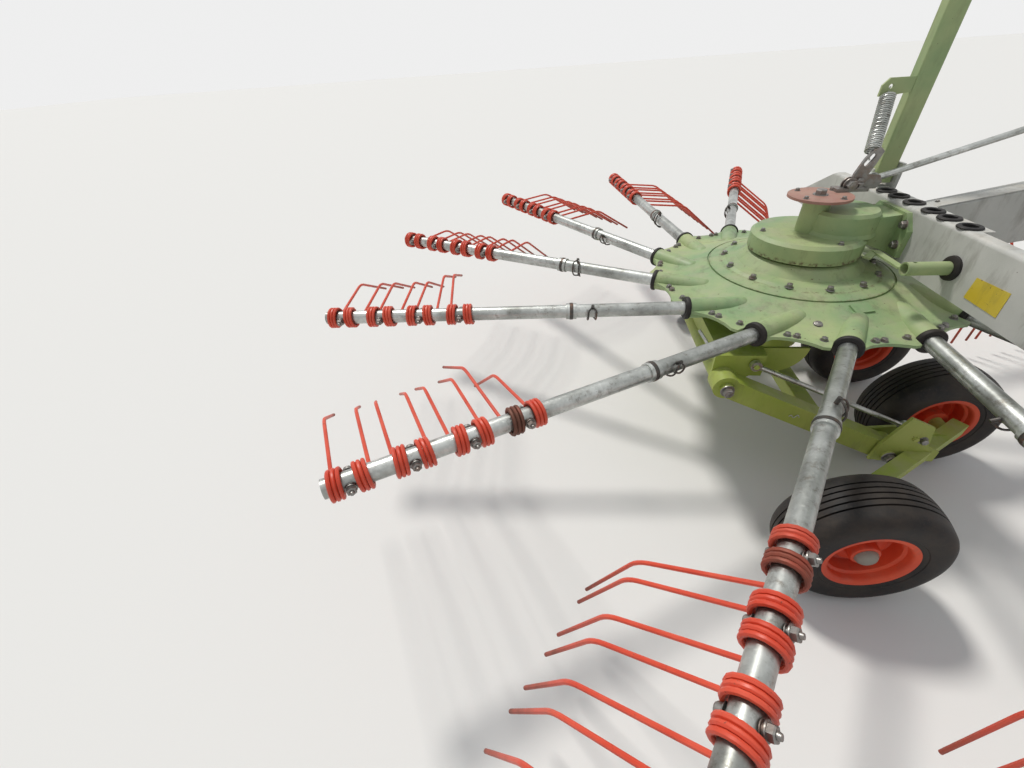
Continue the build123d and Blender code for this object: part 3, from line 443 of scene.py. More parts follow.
wire_tree, given, result = tree_with(
    "wire along a path",
    [("Wire diameter", LENGTH), ("Sides", COUNT), ("Finish", FINISH)],
)
radius = total(wire_tree, given["Wire diameter"], 0.5, "MULTIPLY")
line = add(wire_tree, "GeometryNodeMeshToCurve", {"Mesh": given["Geometry"]}).outputs[0]
section = add(wire_tree, "GeometryNodeCurvePrimitiveCircle", {"Resolution": given["Sides"], "Radius": radius})
sweep = {"Curve": line, "Profile Curve": section.outputs["Curve"], "Fill Caps": True}
swept = add(wire_tree, "GeometryNodeCurveToMesh", sweep)
realised(wire_tree, swept.outputs[0], given["Finish"], result[0])


def grown(tree, seed_mesh, sizes):
    """Runs a tree on a mesh with its inputs set by name, and returns the plain mesh it makes."""
    seed = new_object("seed", seed_mesh)
    modifier = seed.modifiers.new("grow", "NODES")
    modifier.node_group = tree
    for item in tree.interface.items_tree:
        if item.in_out == "INPUT" and item.name in sizes:
            modifier[item.identifier] = sizes[item.name]
    evaluated = seed.evaluated_get(bpy.context.evaluated_depsgraph_get())
    mesh = bpy.data.meshes.new_from_object(evaluated)
    bpy.data.objects.remove(seed)
    return mesh


def wire(points, diameter, finish, sides=8, worn=None):
    """Wire along a list of points, as a plain mesh."""
    edges = [(number, number + 1) for number in range(len(points) - 1)]
    path = mesh_from("path", points, [], edges)
    layer = path.attributes.new("worn", "FLOAT", "POINT")
    layer.data.foreach_set("value", worn or [0.0] * len(points))
    sizes = {"Wire diameter": diameter, "Sides": sides, "Finish": FINISHES[finish]}
    return grown(wire_tree, path, sizes)


print("wire tree has", len(wire_tree.nodes), "nodes")

# %% [markdown]
# ## The double tines
# Each tine is one length of spring wire with its neighbour: tine, coil, a loop under the clamp's
# bolt behind the arm, coil, tine. The coils are wound the two ways round and both tines leave from
# the underside at the outer ends, so that a stone in the swath winds the coils up, not open. The
# solids only hold a sleeve there, so here the real wire is wound turn by turn.

# %% Sizes of a double tine
WIRE = 0.010
COIL_MIDDLE = 0.0315
COIL_INSIDE_END = 0.0145
COIL_OUTSIDE_END = 0.0425
COIL_TURNS = 2.75
STEPS_PER_TURN = 16
# The loop between the coils, as (along the arm, up)
LOOP = ((0.0115, -0.0095), (0.0, -0.0165), (-0.0115, -0.0095))
# A tine runs straight, bends at its elbow and ends in a straight tip, with points at these places
TINE_RUN = 0.300
TINE_TIP = 0.280
TINE_BEND = math.radians(33)
ELBOW_RADIUS = 0.10
RUN_POINTS = (0.04, 0.12)
ELBOW_SHARES = (0.25, 0.5, 0.75, 1.0)
TIP_SHARES = (0.35, 0.7, 0.92, 1.0)
PAIRS = 4
PAIR_PITCH = 0.140
OUTER_PAIR = 1.612
# How far each arm's tines point down, in degrees, as the cam track has rolled the arm
SLOPES = (34.5, 6.5, -1.5, 2.7, -4.1, 2.9, 33.8, 57.5, 57.5, 57.5, 57.5, 57.5, 53.5)
# Tines that broke off at their coils: arm, pair from the outermost, side
BROKEN = ((4, 3, -1), (6, 3, -1), (7, 3, -1))
# Tines bent in use: arm, pair, side to extra slope and sideways lean in degrees
BENT = {
    (4, 2, -1): (-4.5, 2.4),
    (4, 3, 1): (-5.1, 5.1),
    (5, 3, 1): (-5.0, 2.7),
    (5, 3, -1): (5.7, 1.6),
    (6, 2, -1): (0.0, -1.5),
}
# Coils whose paint is gone or going: arm, pair, side to how worn they are
BARE_COILS = {(5, 3, 1): 1.15, (6, 3, 1): 1.02, (6, 3, -1): 0.74}


def rolled_frame(index):
    """One arm's frame, rolled to the slope of its tines."""
    return arm_frame(index) @ Matrix.Rotation(math.radians(SLOPES[index]), 4, "X")


print("tines:", 2 * PAIRS * ARM_COUNT, "of which broken:", len(BROKEN))

# %% One side of a double tine


def tine_side(index, pair, side):
    """Points from the loop, round the coil and out to the tine's tip, with their wear."""
    bare = BARE_COILS.get((index, pair, side), 0.0)
    points = []
    steps = round(COIL_TURNS * STEPS_PER_TURN)
    for step in range(steps + 1):
        share = step / steps
        angle = math.pi - math.tau * COIL_TURNS * share
        x = side * (COIL_INSIDE_END + (COIL_OUTSIDE_END - COIL_INSIDE_END) * share)
        points.append((x, COIL_MIDDLE * math.cos(angle), COIL_MIDDLE * math.sin(angle)))
    worn = [bare] * len(points)
    if (index, pair, side) in BROKEN:
        return points, worn[:-1] + [1.0]
    extra, lean = BENT.get((index, pair, side), (0.0, 0.0))
    slope = math.radians(extra)
    tangent = ELBOW_RADIUS * math.tan(TINE_BEND / 2)
    stretch = [(along, 0.0) for along in (*RUN_POINTS, TINE_RUN - tangent)]
    for share in ELBOW_SHARES:
        angle = TINE_BEND * share
        along = TINE_RUN - tangent + ELBOW_RADIUS * math.sin(angle)
        stretch.append((along, ELBOW_RADIUS * (1 - math.cos(angle))))
    elbow, drop = stretch[-1]
    for share in TIP_SHARES:
        run = (TINE_TIP - tangent) * share
        stretch.append((elbow + run * math.cos(TINE_BEND), drop + run * math.sin(TINE_BEND)))
    for along, drop in stretch:
        y = -along * math.cos(slope) + drop * math.sin(slope)
        z = -COIL_MIDDLE - along * math.sin(slope) - drop * math.cos(slope)
        points.append((side * COIL_OUTSIDE_END + along * math.sin(math.radians(lean)), y, z))
        worn.append(along / (TINE_RUN + TINE_TIP * math.cos(TINE_BEND)))
    return points, worn


def double_tine(index, pair):
    """The whole wire of one double tine, from tip to tip."""
    outer, outer_worn = tine_side(index, pair, 1)
    inner, inner_worn = tine_side(index, pair, -1)
    loop = [(x, -COIL_MIDDLE, z) for x, z in LOOP]
    return outer[::-1] + loop + inner, outer_worn[::-1] + [0.0] * len(loop) + inner_worn


print("points in a double tine:", len(double_tine(0, 0)[0]))

# %% Wind all tines
for index in range(ARM_COUNT):
    parts = []
    for pair in range(PAIRS):
        points, worn = double_tine(index, pair)
        part = wire(points, WIRE, "tine_red", worn=worn)
        part.transform(Matrix.Translation((OUTER_PAIR - pair * PAIR_PITCH, 0, 0)))
        parts.append(part)
    tines = joined("wound tines", parts)
    tines.transform(rolled_frame(index))
    number = f"{index + 1:02d}"
    piece(f"wound_tines_{number}", tines, "tine_red", "rotor", replaces=[f"tines_{number}"])

# %% [markdown]
# ## A tree that sets hardware
# Bolts, nuts and washers repeat by the dozen. The tree builds one from its sizes, which are a washer,
# a six-sided head with a chamfer and the bolt's end, and sets it on every point of a mesh. Each point
# carries a vector named `aim`, the way its head looks.

# %% Tree for hardware
# Shares of the head's height and width, of the washer's width and of the end's width
CHAMFER = 0.2
CHAMFER_WIDTH = 0.86
WASHER_EDGE = 0.96
END_EDGE = 0.8
WASHER_SIDES = 18
END_SIDES = 12
bolt_tree, given, result = tree_with(
    "hardware on points",
    [(f"{part} {size}", LENGTH) for part in ("Washer", "Head", "End") for size in ("radius", "height")]
    + [("Sides", COUNT), ("Finish", FINISH)],
)
sides, wide, foot = given["Sides"], given["Head radius"], given["Washer height"]


def standing(tree, sides, radius, top_radius, bottom, height):
    """A cone or prism that stands on its foot at a height."""
    inputs = {"Vertices": sides, "Radius Top": top_radius, "Radius Bottom": radius, "Depth": height}
    body = add(tree, "GeometryNodeMeshCone", inputs).outputs["Mesh"]
    lift = add(tree, "ShaderNodeCombineXYZ", {"Z": bottom}).outputs[0]
    return add(tree, "GeometryNodeTransform", {"Geometry": body, "Translation": lift}).outputs[0]


flat_height = total(bolt_tree, given["Head height"], 1 - CHAMFER, "MULTIPLY")
chamfer_height = total(bolt_tree, given["Head height"], CHAMFER, "MULTIPLY")
chamfer_radius = total(bolt_tree, wide, CHAMFER_WIDTH, "MULTIPLY")
flat_top = total(bolt_tree, foot, flat_height)
head_top = total(bolt_tree, foot, given["Head height"])
washer_edge = total(bolt_tree, given["Washer radius"], WASHER_EDGE, "MULTIPLY")
end_edge = total(bolt_tree, given["End radius"], END_EDGE, "MULTIPLY")
stack = add(bolt_tree, "GeometryNodeJoinGeometry")
for body in (
    standing(bolt_tree, WASHER_SIDES, given["Washer radius"], washer_edge, 0.0, foot),
    standing(bolt_tree, sides, wide, wide, foot, flat_height),
    standing(bolt_tree, sides, wide, chamfer_radius, flat_top, chamfer_height),
    standing(bolt_tree, END_SIDES, given["End radius"], end_edge, head_top, given["End height"]),
):
    bolt_tree.links.new(body, stack.inputs[0])
aim = add(bolt_tree, "GeometryNodeInputNamedAttribute", {"Name": "aim"}, data_type="FLOAT_VECTOR").outputs[0]
turned = add(bolt_tree, "FunctionNodeAlignRotationToVector", {"Vector": aim}, axis="Z").outputs[0]
inputs = {"Points": given["Geometry"], "Instance": stack.outputs[0], "Rotation": turned}
spread = add(bolt_tree, "GeometryNodeInstanceOnPoints", inputs)
realised(bolt_tree, spread.outputs[0], given["Finish"], result[0])


WASHER_SHARE = 0.18
LEAST_END = 0.0005


def hardware(places, width, height, washer=1.35, end=0.5, end_height=LEAST_END, sides=6):
    """Steel bolts of one size at (place, aim) pairs. Widths are across the head's corners."""
    sizes = {
        "Washer radius": width / 2 * washer,
        "Washer height": height * WASHER_SHARE,
        "Head radius": width / 2,
        "Head height": height,
        "Sides": sides,
        "End radius": width / 2 * end,
        "End height": end_height,
        "Finish": FINISHES["bare_steel"],
    }
    seeds = mesh_from("points", [place for place, _ in places], [])
    layer = seeds.attributes.new("aim", "FLOAT_VECTOR", "POINT")
    layer.data.foreach_set("vector", [value for _, way in places for value in way])
    return grown(bolt_tree, seeds, sizes)


print("hardware tree has", len(bolt_tree.nodes), "nodes")

# %% [markdown]
# ## Tine clamps
# Between the two coils of each double tine a bolt goes through the arm. Its round head sits behind
# the arm, over the wire's loop. On the leading side its end stands on a flat collar and carries a
# nut, where a spanner reaches it when a tine has to be changed. All of them are alike and turn with
# their arm, so the hardware tree sets them from three pairs of sizes.

# %% Clamp bolts
BOLT_START = 0.0222
# Width and height of a clamp's three forms
COLLAR = (0.015, 0.0060)
ROUND_HEAD = (0.022, 0.012)
NUT = (0.0225, 0.010)
NUT_END = 0.005
ROUND_SIDES = 12
collars = []
nuts = []
heads = []
for index in range(ARM_COUNT):
    roll = rolled_frame(index)
    leading = (roll.to_3x3() @ Vector((0, 1, 0))).normalized()
    for pair in range(PAIRS):
        x = OUTER_PAIR - pair * PAIR_PITCH
        collars.append((roll @ Vector((x, BOLT_START, 0)), leading))
        nuts.append((roll @ Vector((x, BOLT_START + COLLAR[1], 0)), leading))
        heads.append((roll @ Vector((x, -BOLT_START, 0)), -leading))
round_parts = [
    hardware(collars, *COLLAR, washer=1.6, sides=ROUND_SIDES),
    hardware(heads, *ROUND_HEAD, washer=1.3, sides=ROUND_SIDES),
]
nut_mesh = hardware(nuts, *NUT, washer=1.2, end_height=NUT_END)
piece("tine_clamp_studs", round_parts, "bare_steel", "rotor")
piece("tine_clamp_nuts", nut_mesh, "bare_steel", "rotor")

# %% [markdown]
# ## Turned forms
# Tyres, caps, rubber lips and grommets are bodies of revolution. A helper spins an outline of
# (radius, height) points round an axis. Doing it in code, and not by a modifier, lets the outline's
# first and last points close on the axis or on each other.

# %% Spin helper


def spun(outline, place, axis, segments=32, closed=True):
    """A mesh of revolution of (radius, height) points round an axis through a place."""
    axis = Vector(axis).normalized()
    turn = axis.to_track_quat("Z", "Y").to_matrix()
    points = []
    for radius, height in outline:
        for step in range(segments):
            angle = math.tau * step / segments
            local = Vector((radius * math.cos(angle), radius * math.sin(angle), height))
            points.append(place + turn @ local)
    rings = len(outline)
    faces = []
    for ring in range(rings if closed else rings - 1):
        start = ring * segments
        after = (ring + 1) % rings * segments
        for step in range(segments):
            beside = (step + 1) % segments
            faces.append((start + step, start + beside, after + beside, after + step))
    return mesh_from("turned", points, faces, weld=True)


def round_arm(index, outline, start, segments):
    """A ring of (along, radius) points round one arm, at a distance along it."""
    place = arm_frame(index)
    points = [(radius, start + along) for along, radius in outline]
    return spun(points, place.translation, place.to_3x3() @ Vector((1, 0, 0)), segments=segments)


print("spin helper ready")

# %% [markdown]
# ## Rubber lips at the sleeves
# Where an arm leaves its sleeve, a rubber lip wipes the tube: a bead that grips the sleeve's end,
# rounded off towards the arm. It is the same all the way round, so one outline is spun about each
# arm. The lips replace the plain rings of the solids, which have no round to catch the light.

# %% Rubber lips
SLEEVE_END = 0.427
# Distance past the sleeve's end and radius, from the bead's back over its round to its bore
LIP = (
    (-0.002, 0.0333), (-0.002, 0.0360), (0.000, 0.0372), (0.008, 0.0372), (0.0115, 0.0350),
    (0.0130, 0.0300), (0.0135, 0.0229), (0.000, 0.0229), (0.000, 0.0333),
)
lips = [round_arm(index, LIP, SLEEVE_END, 36) for index in range(ARM_COUNT)]
piece("sleeve_lips", lips, "seal", "rotor", replaces=["seal_rings"])

# %% [markdown]
# ## Bolts of the head
# Three bolts hold the lower casting between each two sleeves, a close pair and a single one, and a
# ring of dark bolts closes the shoulder. A fixed list of places would have to be measured bolt by
# bolt, so all are set by angle instead, counted from the sleeve next to them.

# %% Head bolts
FLANGE_BOLT_RADIUS = 0.459
FLANGE_TOP = 0.6385
FLANGE_BOLT_TURNS = (8.0, 11.0, 19.5)
SHOULDER_BOLT_RADIUS = 0.236
SHOULDER_TOP = 0.6895
SHOULDER_BOLT_TURN = 4.0
UP = (0.0, 0.0, 1.0)


def on_circle(radius, degrees, height):
    """A point on a circle round the rotor's axis."""
    angle = math.radians(degrees)
    return at(radius * math.cos(angle), radius * math.sin(angle), height)


sleeve_turn = math.degrees(FIRST_ARM + math.asin(ARM_OFFSET / FLANGE_BOLT_RADIUS))
flange_bolts = []
shoulder_bolts = []
for index in range(ARM_COUNT):
    sleeve = sleeve_turn + index * 360 / ARM_COUNT
    for past in FLANGE_BOLT_TURNS:
        flange_bolts.append((on_circle(FLANGE_BOLT_RADIUS, sleeve + past, FLANGE_TOP), UP))
    shoulder_bolts.append((on_circle(SHOULDER_BOLT_RADIUS, sleeve + SHOULDER_BOLT_TURN, SHOULDER_TOP), UP))
head_bolts = [
    hardware(flange_bolts, 0.0175, 0.008, washer=1.3, end_height=0.002),
    hardware(shoulder_bolts, 0.019, 0.010, washer=1.4),
]
piece("head_bolts", head_bolts, "bare_steel", "rotor")

# %% [markdown]
# ## Bolts of the fixed frame
# The fixed casting, its bracket, the disc, the pins' ends and the headstock carry their own bolts.
# They stand in a table of size, place from the rotor's axis and the way the head looks, and a loop
# adds what is the same on both sides.

# %% Frame bolts
BACK = (-1.0, 0.0, 0.0)
RIGHT = (0.0, -1.0, 0.0)
LEFT = (0.0, 1.0, 0.0)
SMALL = (0.014, 0.007)
MIDDLE = (0.022, 0.012)
LARGE = (0.032, 0.016)
DISC_HEX = (0.0345, 0.0145)
DISC_BOLT_RADIUS = 0.074
DISC_BOLT_TURNS = (40, 130, 215, 305)
DISC_TOP = 0.913
bolt_table = [
    (SMALL, (-0.142, 0.006, 0.799), UP),
    (SMALL, (0.041, -0.140, 0.799), UP),
    (SMALL, (0.090, 0.115, 0.799), UP),
    (DISC_HEX, (0.0, 0.0, 0.9125), UP),
    (LARGE, (0.098, 0.050, 0.931), RIGHT),
    (LARGE, (0.098, 0.034, 0.931), RIGHT),
    (MIDDLE, (0.128, 0.050, 0.940), RIGHT),
    (MIDDLE, (0.125, 0.030, 0.923), UP),
    (MIDDLE, (0.180, 0.092, 0.933), LEFT),
]
for side, outward in ((-1, RIGHT), (1, LEFT)):
    bolt_table += [
        (MIDDLE, (0.234, side * 0.088, 0.775), BACK),
        (MIDDLE, (0.234, side * 0.088, 0.838), BACK),
        (MIDDLE, (0.327, side * 0.474, 0.278), outward),
        (LARGE, (-0.312, side * 0.474, 0.465), outward),
        (LARGE, (0.255, side * 0.482, 0.205), outward),
        (MIDDLE, (1.84, side * 0.035, 0.66), BACK),
        (MIDDLE, (1.84, side * 0.035, 1.48), BACK),
    ]
frame_bolts = {}
for size, place, way in bolt_table:
    frame_bolts.setdefault(size, []).append((at(*place), way))
for degrees in DISC_BOLT_TURNS:
    frame_bolts[SMALL].append((on_circle(DISC_BOLT_RADIUS, degrees, DISC_TOP), UP))
bolts = [hardware(places, *size) for size, places in frame_bolts.items()]
piece("frame_bolts", bolts, "bare_steel", "chassis")

# %% [markdown]
# ## Ribbed tyres
# Tyres of towed rakes have no blocks, only ribs that run round, so that they roll straight. The
# outline of one tyre alternates rib and groove across the tread, bulges at the side wall and ends
# at the rim. Grooves could be cut from a plain ring, but an outline that is spun about the wheel's
# axle has them from the start, with clean edges.

# %% Tyres
TYRE_RADIUS = 0.205
TYRE_HALF = 0.0825
BEAD_RADIUS = 0.1023
BEAD_HALF = 0.0640
RIBS = 6
GROOVE_DEPTH = 0.0065
GROOVE_SHARE = 0.28
TREAD_HALF = 0.052
GROOVE_SLANT = 0.001
CROWN = 0.006
# Half of a tyre's section, from its bead over the side wall to the tread, as (radius, across)
SIDE_WALL = (
    (BEAD_RADIUS, -BEAD_HALF), (0.1085, -0.0715), (0.1175, -0.0765), (0.1270, -0.0772),
    (0.1285, -0.0792), (0.1400, -0.0812), (0.1600, -TYRE_HALF), (0.1745, -0.0805),
    (0.1850, -0.0755), (0.1920, -0.0690), (0.1960, -0.0620), (0.1975, -0.0560),
)
# The four wheels, each with the way its dish looks: 1 is to the left
WHEELS = {"outer_left": 1, "outer_right": -1, "inner_left": -1, "inner_right": 1}


def hub_of(wheel):
    """The middle of a wheel, which is where its joint spins it."""
    return Vector(joints[f"wheel_{wheel}_spin"]["pos_m"])


def tyre_outline():
    """One tyre's section from bead to bead, as (radius, across) points."""
    tread = []
    pitch = 2 * TREAD_HALF / RIBS
    for rib in range(RIBS):
        start = -TREAD_HALF + rib * pitch
        end = start + pitch * (1 - GROOVE_SHARE)
        for across in (start, end):
            tread.append((TYRE_RADIUS - CROWN * (across / TREAD_HALF) ** 2, across))
        if rib < RIBS - 1:
            for across in (end + GROOVE_SLANT, start + pitch - GROOVE_SLANT):
                tread.append((TYRE_RADIUS - GROOVE_DEPTH - CROWN * (across / TREAD_HALF) ** 2, across))
    shift = (TREAD_HALF - tread[-1][1]) / 2
    tread = [(radius, across + shift) for radius, across in tread]
    other = [(radius, -across) for radius, across in reversed(SIDE_WALL)]
    return [*SIDE_WALL, *tread, *other]


for wheel in WHEELS:
    tyre = spun(tyre_outline(), hub_of(wheel), LEFT, segments=96)
    piece(f"ribbed_tyre_{wheel}", tyre, "tyre", f"wheel_{wheel}", replaces=[f"tyre_{wheel}"])

# %% [markdown]
# ## Pressed rims
# A rim like this is rolled from sheet: a curled flange holds the tyre's bead, a ledge seats it, and
# the well steps down to the dish, which is welded to the hub. The steps are what one sees of it, so
# its section is drawn point by point and spun, where the solid has a plain well. A dusty cap closes
# the hub, and a short valve stands in the dish. All outlines are (radius, across) points.

# %% Rims
RIM_EDGE = (
    (0.1018, 0.0640), (0.1035, 0.0700), (0.1130, 0.0708), (0.1165, 0.0716), (0.1170, 0.0732),
    (0.1160, 0.0745), (0.1125, 0.0745), (0.1100, 0.0736), (0.1025, 0.0730), (0.0985, 0.0700),
    (0.0968, 0.0640), (0.0955, 0.0510), (0.0900, 0.0478), (0.0880, 0.0455), (0.0872, 0.0300),
)
RIM_BACK = ((0.0872, -0.0020), (0.0740, -0.0050), (0.0640, 0.0150), (0.0380, 0.0170))
RIM_FRONT = (
    (0.0355, 0.0530), (0.0380, 0.0480), (0.0380, 0.0290), (0.0400, 0.0262), (0.0560, 0.0255),
    (0.0630, 0.0225), (0.0720, 0.0060), (0.0800, 0.0045), (0.0862, 0.0100),
)
HUB_BORE = 0.0205
HUB_HALF = 0.0550
HUB_FLOOR = 0.0350
HUB_FACE = 0.0545
RIM_HUB = (
    (0.0380, -HUB_HALF), (HUB_BORE, -HUB_HALF), (HUB_BORE, HUB_FLOOR), (0.0, HUB_FLOOR),
    (0.0, HUB_FACE), (0.0320, HUB_FACE),
)
RIM_OUTLINE = [(radius, -across) for radius, across in RIM_EDGE]
RIM_OUTLINE += [*RIM_BACK, *RIM_HUB, *RIM_FRONT, *reversed(RIM_EDGE)]
CAP = ((0.0, 0.0165), (0.012, 0.0160), (0.021, 0.0130), (0.0265, 0.0070), (0.0290, 0.0), (0.0, 0.0))
VALVE_WIDTH = 0.008
VALVE_FOOT = Vector((0.0316, 0.0, -0.0711))
VALVE_POINTS = (0.003, 0.020, 0.034)
for wheel, side in WHEELS.items():
    body = f"wheel_{wheel}"
    hub = hub_of(wheel)
    way = Vector((0, side, 0))
    rim = spun(RIM_OUTLINE, hub, way, segments=72)
    piece(f"pressed_rim_{wheel}", rim, "rim_red", body, replaces=[f"rim_{wheel}"])
    cap = spun([(radius, HUB_HALF + height) for radius, height in CAP], hub, way, segments=28, closed=False)
    piece(f"hub_cap_{wheel}", cap, "dusty_cap", body, "galvanised")
    valve = wire([hub + VALVE_FOOT + way * out for out in VALVE_POINTS], VALVE_WIDTH, "seal", sides=10)
    piece(f"valve_{wheel}", valve, "seal", body)

# %% [markdown]
# ## Rubber-lined rack
# The crossbeam's top flange has six holes that keep pulled-off arms for transport. A thick rubber
# ring lines each one, so that the arms don't rattle: a lip above the sheet, a groove that holds its
# edge and a bead below, all in one spun outline. One more ring sits round the stub tube's foot.

# %% Rack rings
RACK_TOP = 0.883
RACK_X = 0.278
RACK_HOLES = (0.130, 0.060, -0.020, -0.110, -0.180, -0.260)
GROMMET = (
    (0.0180, -0.011), (0.0180, 0.004), (0.0205, 0.0062), (0.0275, 0.0055), (0.0300, 0.0030),
    (0.0300, 0.0), (0.0209, 0.0), (0.0209, -0.006), (0.0265, -0.006), (0.0265, -0.011),
)
STUB_RING = ((0.0193, 0.0), (0.0193, 0.010), (0.0250, 0.0105), (0.0335, 0.0060), (0.0345, 0.0))
rings = [spun(GROMMET, at(RACK_X, y, RACK_TOP), UP, segments=36) for y in RACK_HOLES]
rings.append(spun(STUB_RING, at(0.250, -0.310, 0.788), BACK, segments=36))
piece("rack_rings", rings, "seal", "chassis")

# %% [markdown]
# ## Tension spring
# A grey tension spring pulls between the lever's slot and the lug on the left guard post. Its body
# is a close-wound helix and each end bends out into a hook. The path is worked out along the line
# between the two holes.

# %% Spring
SPRING_LOW = at(0.138, 0.055, 0.999)
SPRING_HIGH = at(0.195, 0.196, 1.181)
SPRING_RADIUS = 0.019
SPRING_WIRE = 0.0052
SPRING_TURNS = 27
SPRING_STEPS = 12
# A hook's length, and its points as (along, out) from the hole
HOOK = 0.030
HOOK_POINTS = ((0.0, 0.0), (0.006, 0.006), (0.016, 0.004))
axis = SPRING_HIGH - SPRING_LOW
body_length = axis.length - 2 * HOOK
axis.normalize()
across = axis.cross(Vector((1, 0, 0))).normalized()
third = axis.cross(across)
spring_path = [SPRING_LOW + axis * along + across * out for along, out in HOOK_POINTS]
for step in range(SPRING_TURNS * SPRING_STEPS + 1):
    angle = math.tau * step / SPRING_STEPS
    height = HOOK + body_length * step / (SPRING_TURNS * SPRING_STEPS)
    ring = across * math.cos(angle) + third * math.sin(angle)
    spring_path.append(SPRING_LOW + axis * height + ring * SPRING_RADIUS)
spring_path += [SPRING_HIGH - axis * along + across * out for along, out in reversed(HOOK_POINTS)]
spring = wire(spring_path, SPRING_WIRE, "galvanised")
piece("tension_spring", spring, "galvanised", "chassis")

# %% [markdown]
# ## Pipe pins
# The arms pull apart for transport. A pin goes through each joint, and a sprung bow of wire folds
# over the tube and snaps behind the pin's tip. Pin and bow are wire on two paths, set on each arm.
# A raised dark ring sits at each joint's seam, and its dark colour is painted shade of the gap between the tubes.
# The pins work loose, so none sits quite as the next.

# %% Pipe pins
PIN_AT = 0.742
PIN_WIDTH = 0.011
PIN_TURN = math.radians(-35)
PIN_SWING = 0.5
PIN_STEP = 2.4
PIN_REACH = 0.036
SHANK = ((0, 0, -0.039), (0, 0, 0), (0, 0, 0.040))
BOW_WIRE = 0.0055
BOW_RADIUS = 0.0300
BOW_HALF = 0.013
BOW_STEPS = 32
SEAM_AT = 0.811
# The seam ring takes the dark wire's colour as painted shade of the gap where the two tubes meet
SEAM_SHADE_RING = ((-0.006, 0.0271), (-0.005, 0.0284), (0.0, 0.0288), (0.005, 0.0284), (0.006, 0.0271))
bow = []
for step in range(BOW_STEPS + 1):
    round_tube = math.pi * (1 - abs(1 - 2 * step / BOW_STEPS))
    spread = -BOW_HALF * math.copysign(min(1.0, 2.2 * math.sin(round_tube)), BOW_STEPS / 2 - step)
    reach = BOW_RADIUS + (PIN_REACH - BOW_RADIUS) * abs(math.cos(round_tube)) ** 4
    bow.append((spread, reach * math.sin(round_tube), reach * math.cos(round_tube)))
parts = [wire(SHANK, PIN_WIDTH, "dark_wire_and_shade", sides=12), wire(bow, BOW_WIRE, "dark_wire_and_shade", sides=7)]
# First the dark seam rings, which are painted shade of the joints' gaps, then the pins
pins_and_shade_rings = [round_arm(index, SEAM_SHADE_RING, SEAM_AT, 30) for index in range(ARM_COUNT)]
for index in range(ARM_COUNT):
    turn = Matrix.Rotation(PIN_TURN + PIN_SWING * math.sin(index * PIN_STEP), 4, "X")
    pin = joined("pipe pin", parts)
    pin.transform(arm_frame(index) @ Matrix.Translation((PIN_AT, 0, 0)) @ turn)
    pins_and_shade_rings.append(pin)
piece("pipe_pins_and_shade_rings", pins_and_shade_rings, "dark_wire_and_shade", "rotor", "bare_steel")

# %% [markdown]
# ## Flat stock
# Covers, plates and levers are cut from sheet and flat bar. A sheet is a polygon thickened one way,
# and a bent bar is a row of sheets.

# %% Flat stock


def plate(corners, thickness, way):
    """A flat sheet from its corners, thickened one way."""
    count = len(corners)
    front = [Vector(corner) for corner in corners]
    back = [corner + Vector(way) * thickness for corner in front]
    faces = [tuple(range(count)), tuple(range(2 * count - 1, count - 1, -1))]
    faces += [(i, (i + 1) % count, (i + 1) % count + count, i + count) for i in range(count)]
    return mesh_from("sheet", front + back, faces)


def flat_bar(points, width, thickness):
    """A flat bar bent along points, its width across the way up."""
    parts = []
    for start, end in zip(points, points[1:]):
        along = (end - start).normalized()
        side = along.cross(Vector(UP)).normalized() * width / 2
        parts.append(plate([start - side, start + side, end + side, end - side], thickness, UP))
    return joined("flat bar", parts)


print("flat stock ready")

# %% [markdown]
# ## Cover and welds of the main beam
# The main beam rises towards the front. A thin sheet lies along its top under a row of screws, and a
# weld bead runs round the beam at both ends, where it meets the crossbeam and the tower. A bead
# could be a bevel of the joint, but wire along the tube's corners leaves the solids as they are.

# %% Main beam
BEAM_START = 0.284
BEAM_TOP = 0.8616
BEAM_RISE = math.tan(math.radians(11.2))
BEAM_DEPTH = 0.1733
BEAM_HALF = 0.0405
COVER_CORNERS = ((0.292, -0.037), (1.82, -0.037), (1.82, 0.010), (0.292, 0.010))
COVER_THICKNESS = 0.003
SCREWS_AT = (0.36, 0.64, 0.92, 1.20, 1.48, 1.76)
SCREW_SEAT = 0.0029
WELDS_AT = (0.287, 1.837)


def on_beam(x, y, up=0.0):
    """A point over the main beam's sloping top."""
    return at(x, y, BEAM_TOP + (x - BEAM_START) * BEAM_RISE + up)


strip = [on_beam(x, y) for x, y in COVER_CORNERS]
piece("beam_cover", plate(strip, COVER_THICKNESS, UP), "frame_grey", "chassis")
screws = hardware([(on_beam(x, 0.001, SCREW_SEAT), UP) for x in SCREWS_AT], 0.011, 0.004)
piece("cover_screws", screws, "bare_steel", "chassis")
beads = []
for x in WELDS_AT:
    corners = ((-1, -BEAM_DEPTH), (-1, 0.0), (1, 0.0), (1, -BEAM_DEPTH), (-1, -BEAM_DEPTH))
    loop = [on_beam(x, side * BEAM_HALF, up) for side, up in corners]
    beads.append(wire(loop, 0.006, "frame_grey", sides=6))
piece("weld_beads", beads, "frame_grey", "chassis")

# %% [markdown]
# ## Small fittings of the frame
# A bent bright rod stands behind the carriage, and the drive stub has six splines that the tractor's
# shaft slides over. A blank yellow plate is on the crossbeam, with a bent flat lever under it. Both
# trailing arms swing on a bright shaft, which a spring clip keeps in place. All of them are wire or
# flat stock on a few points, because none has more shape than that.

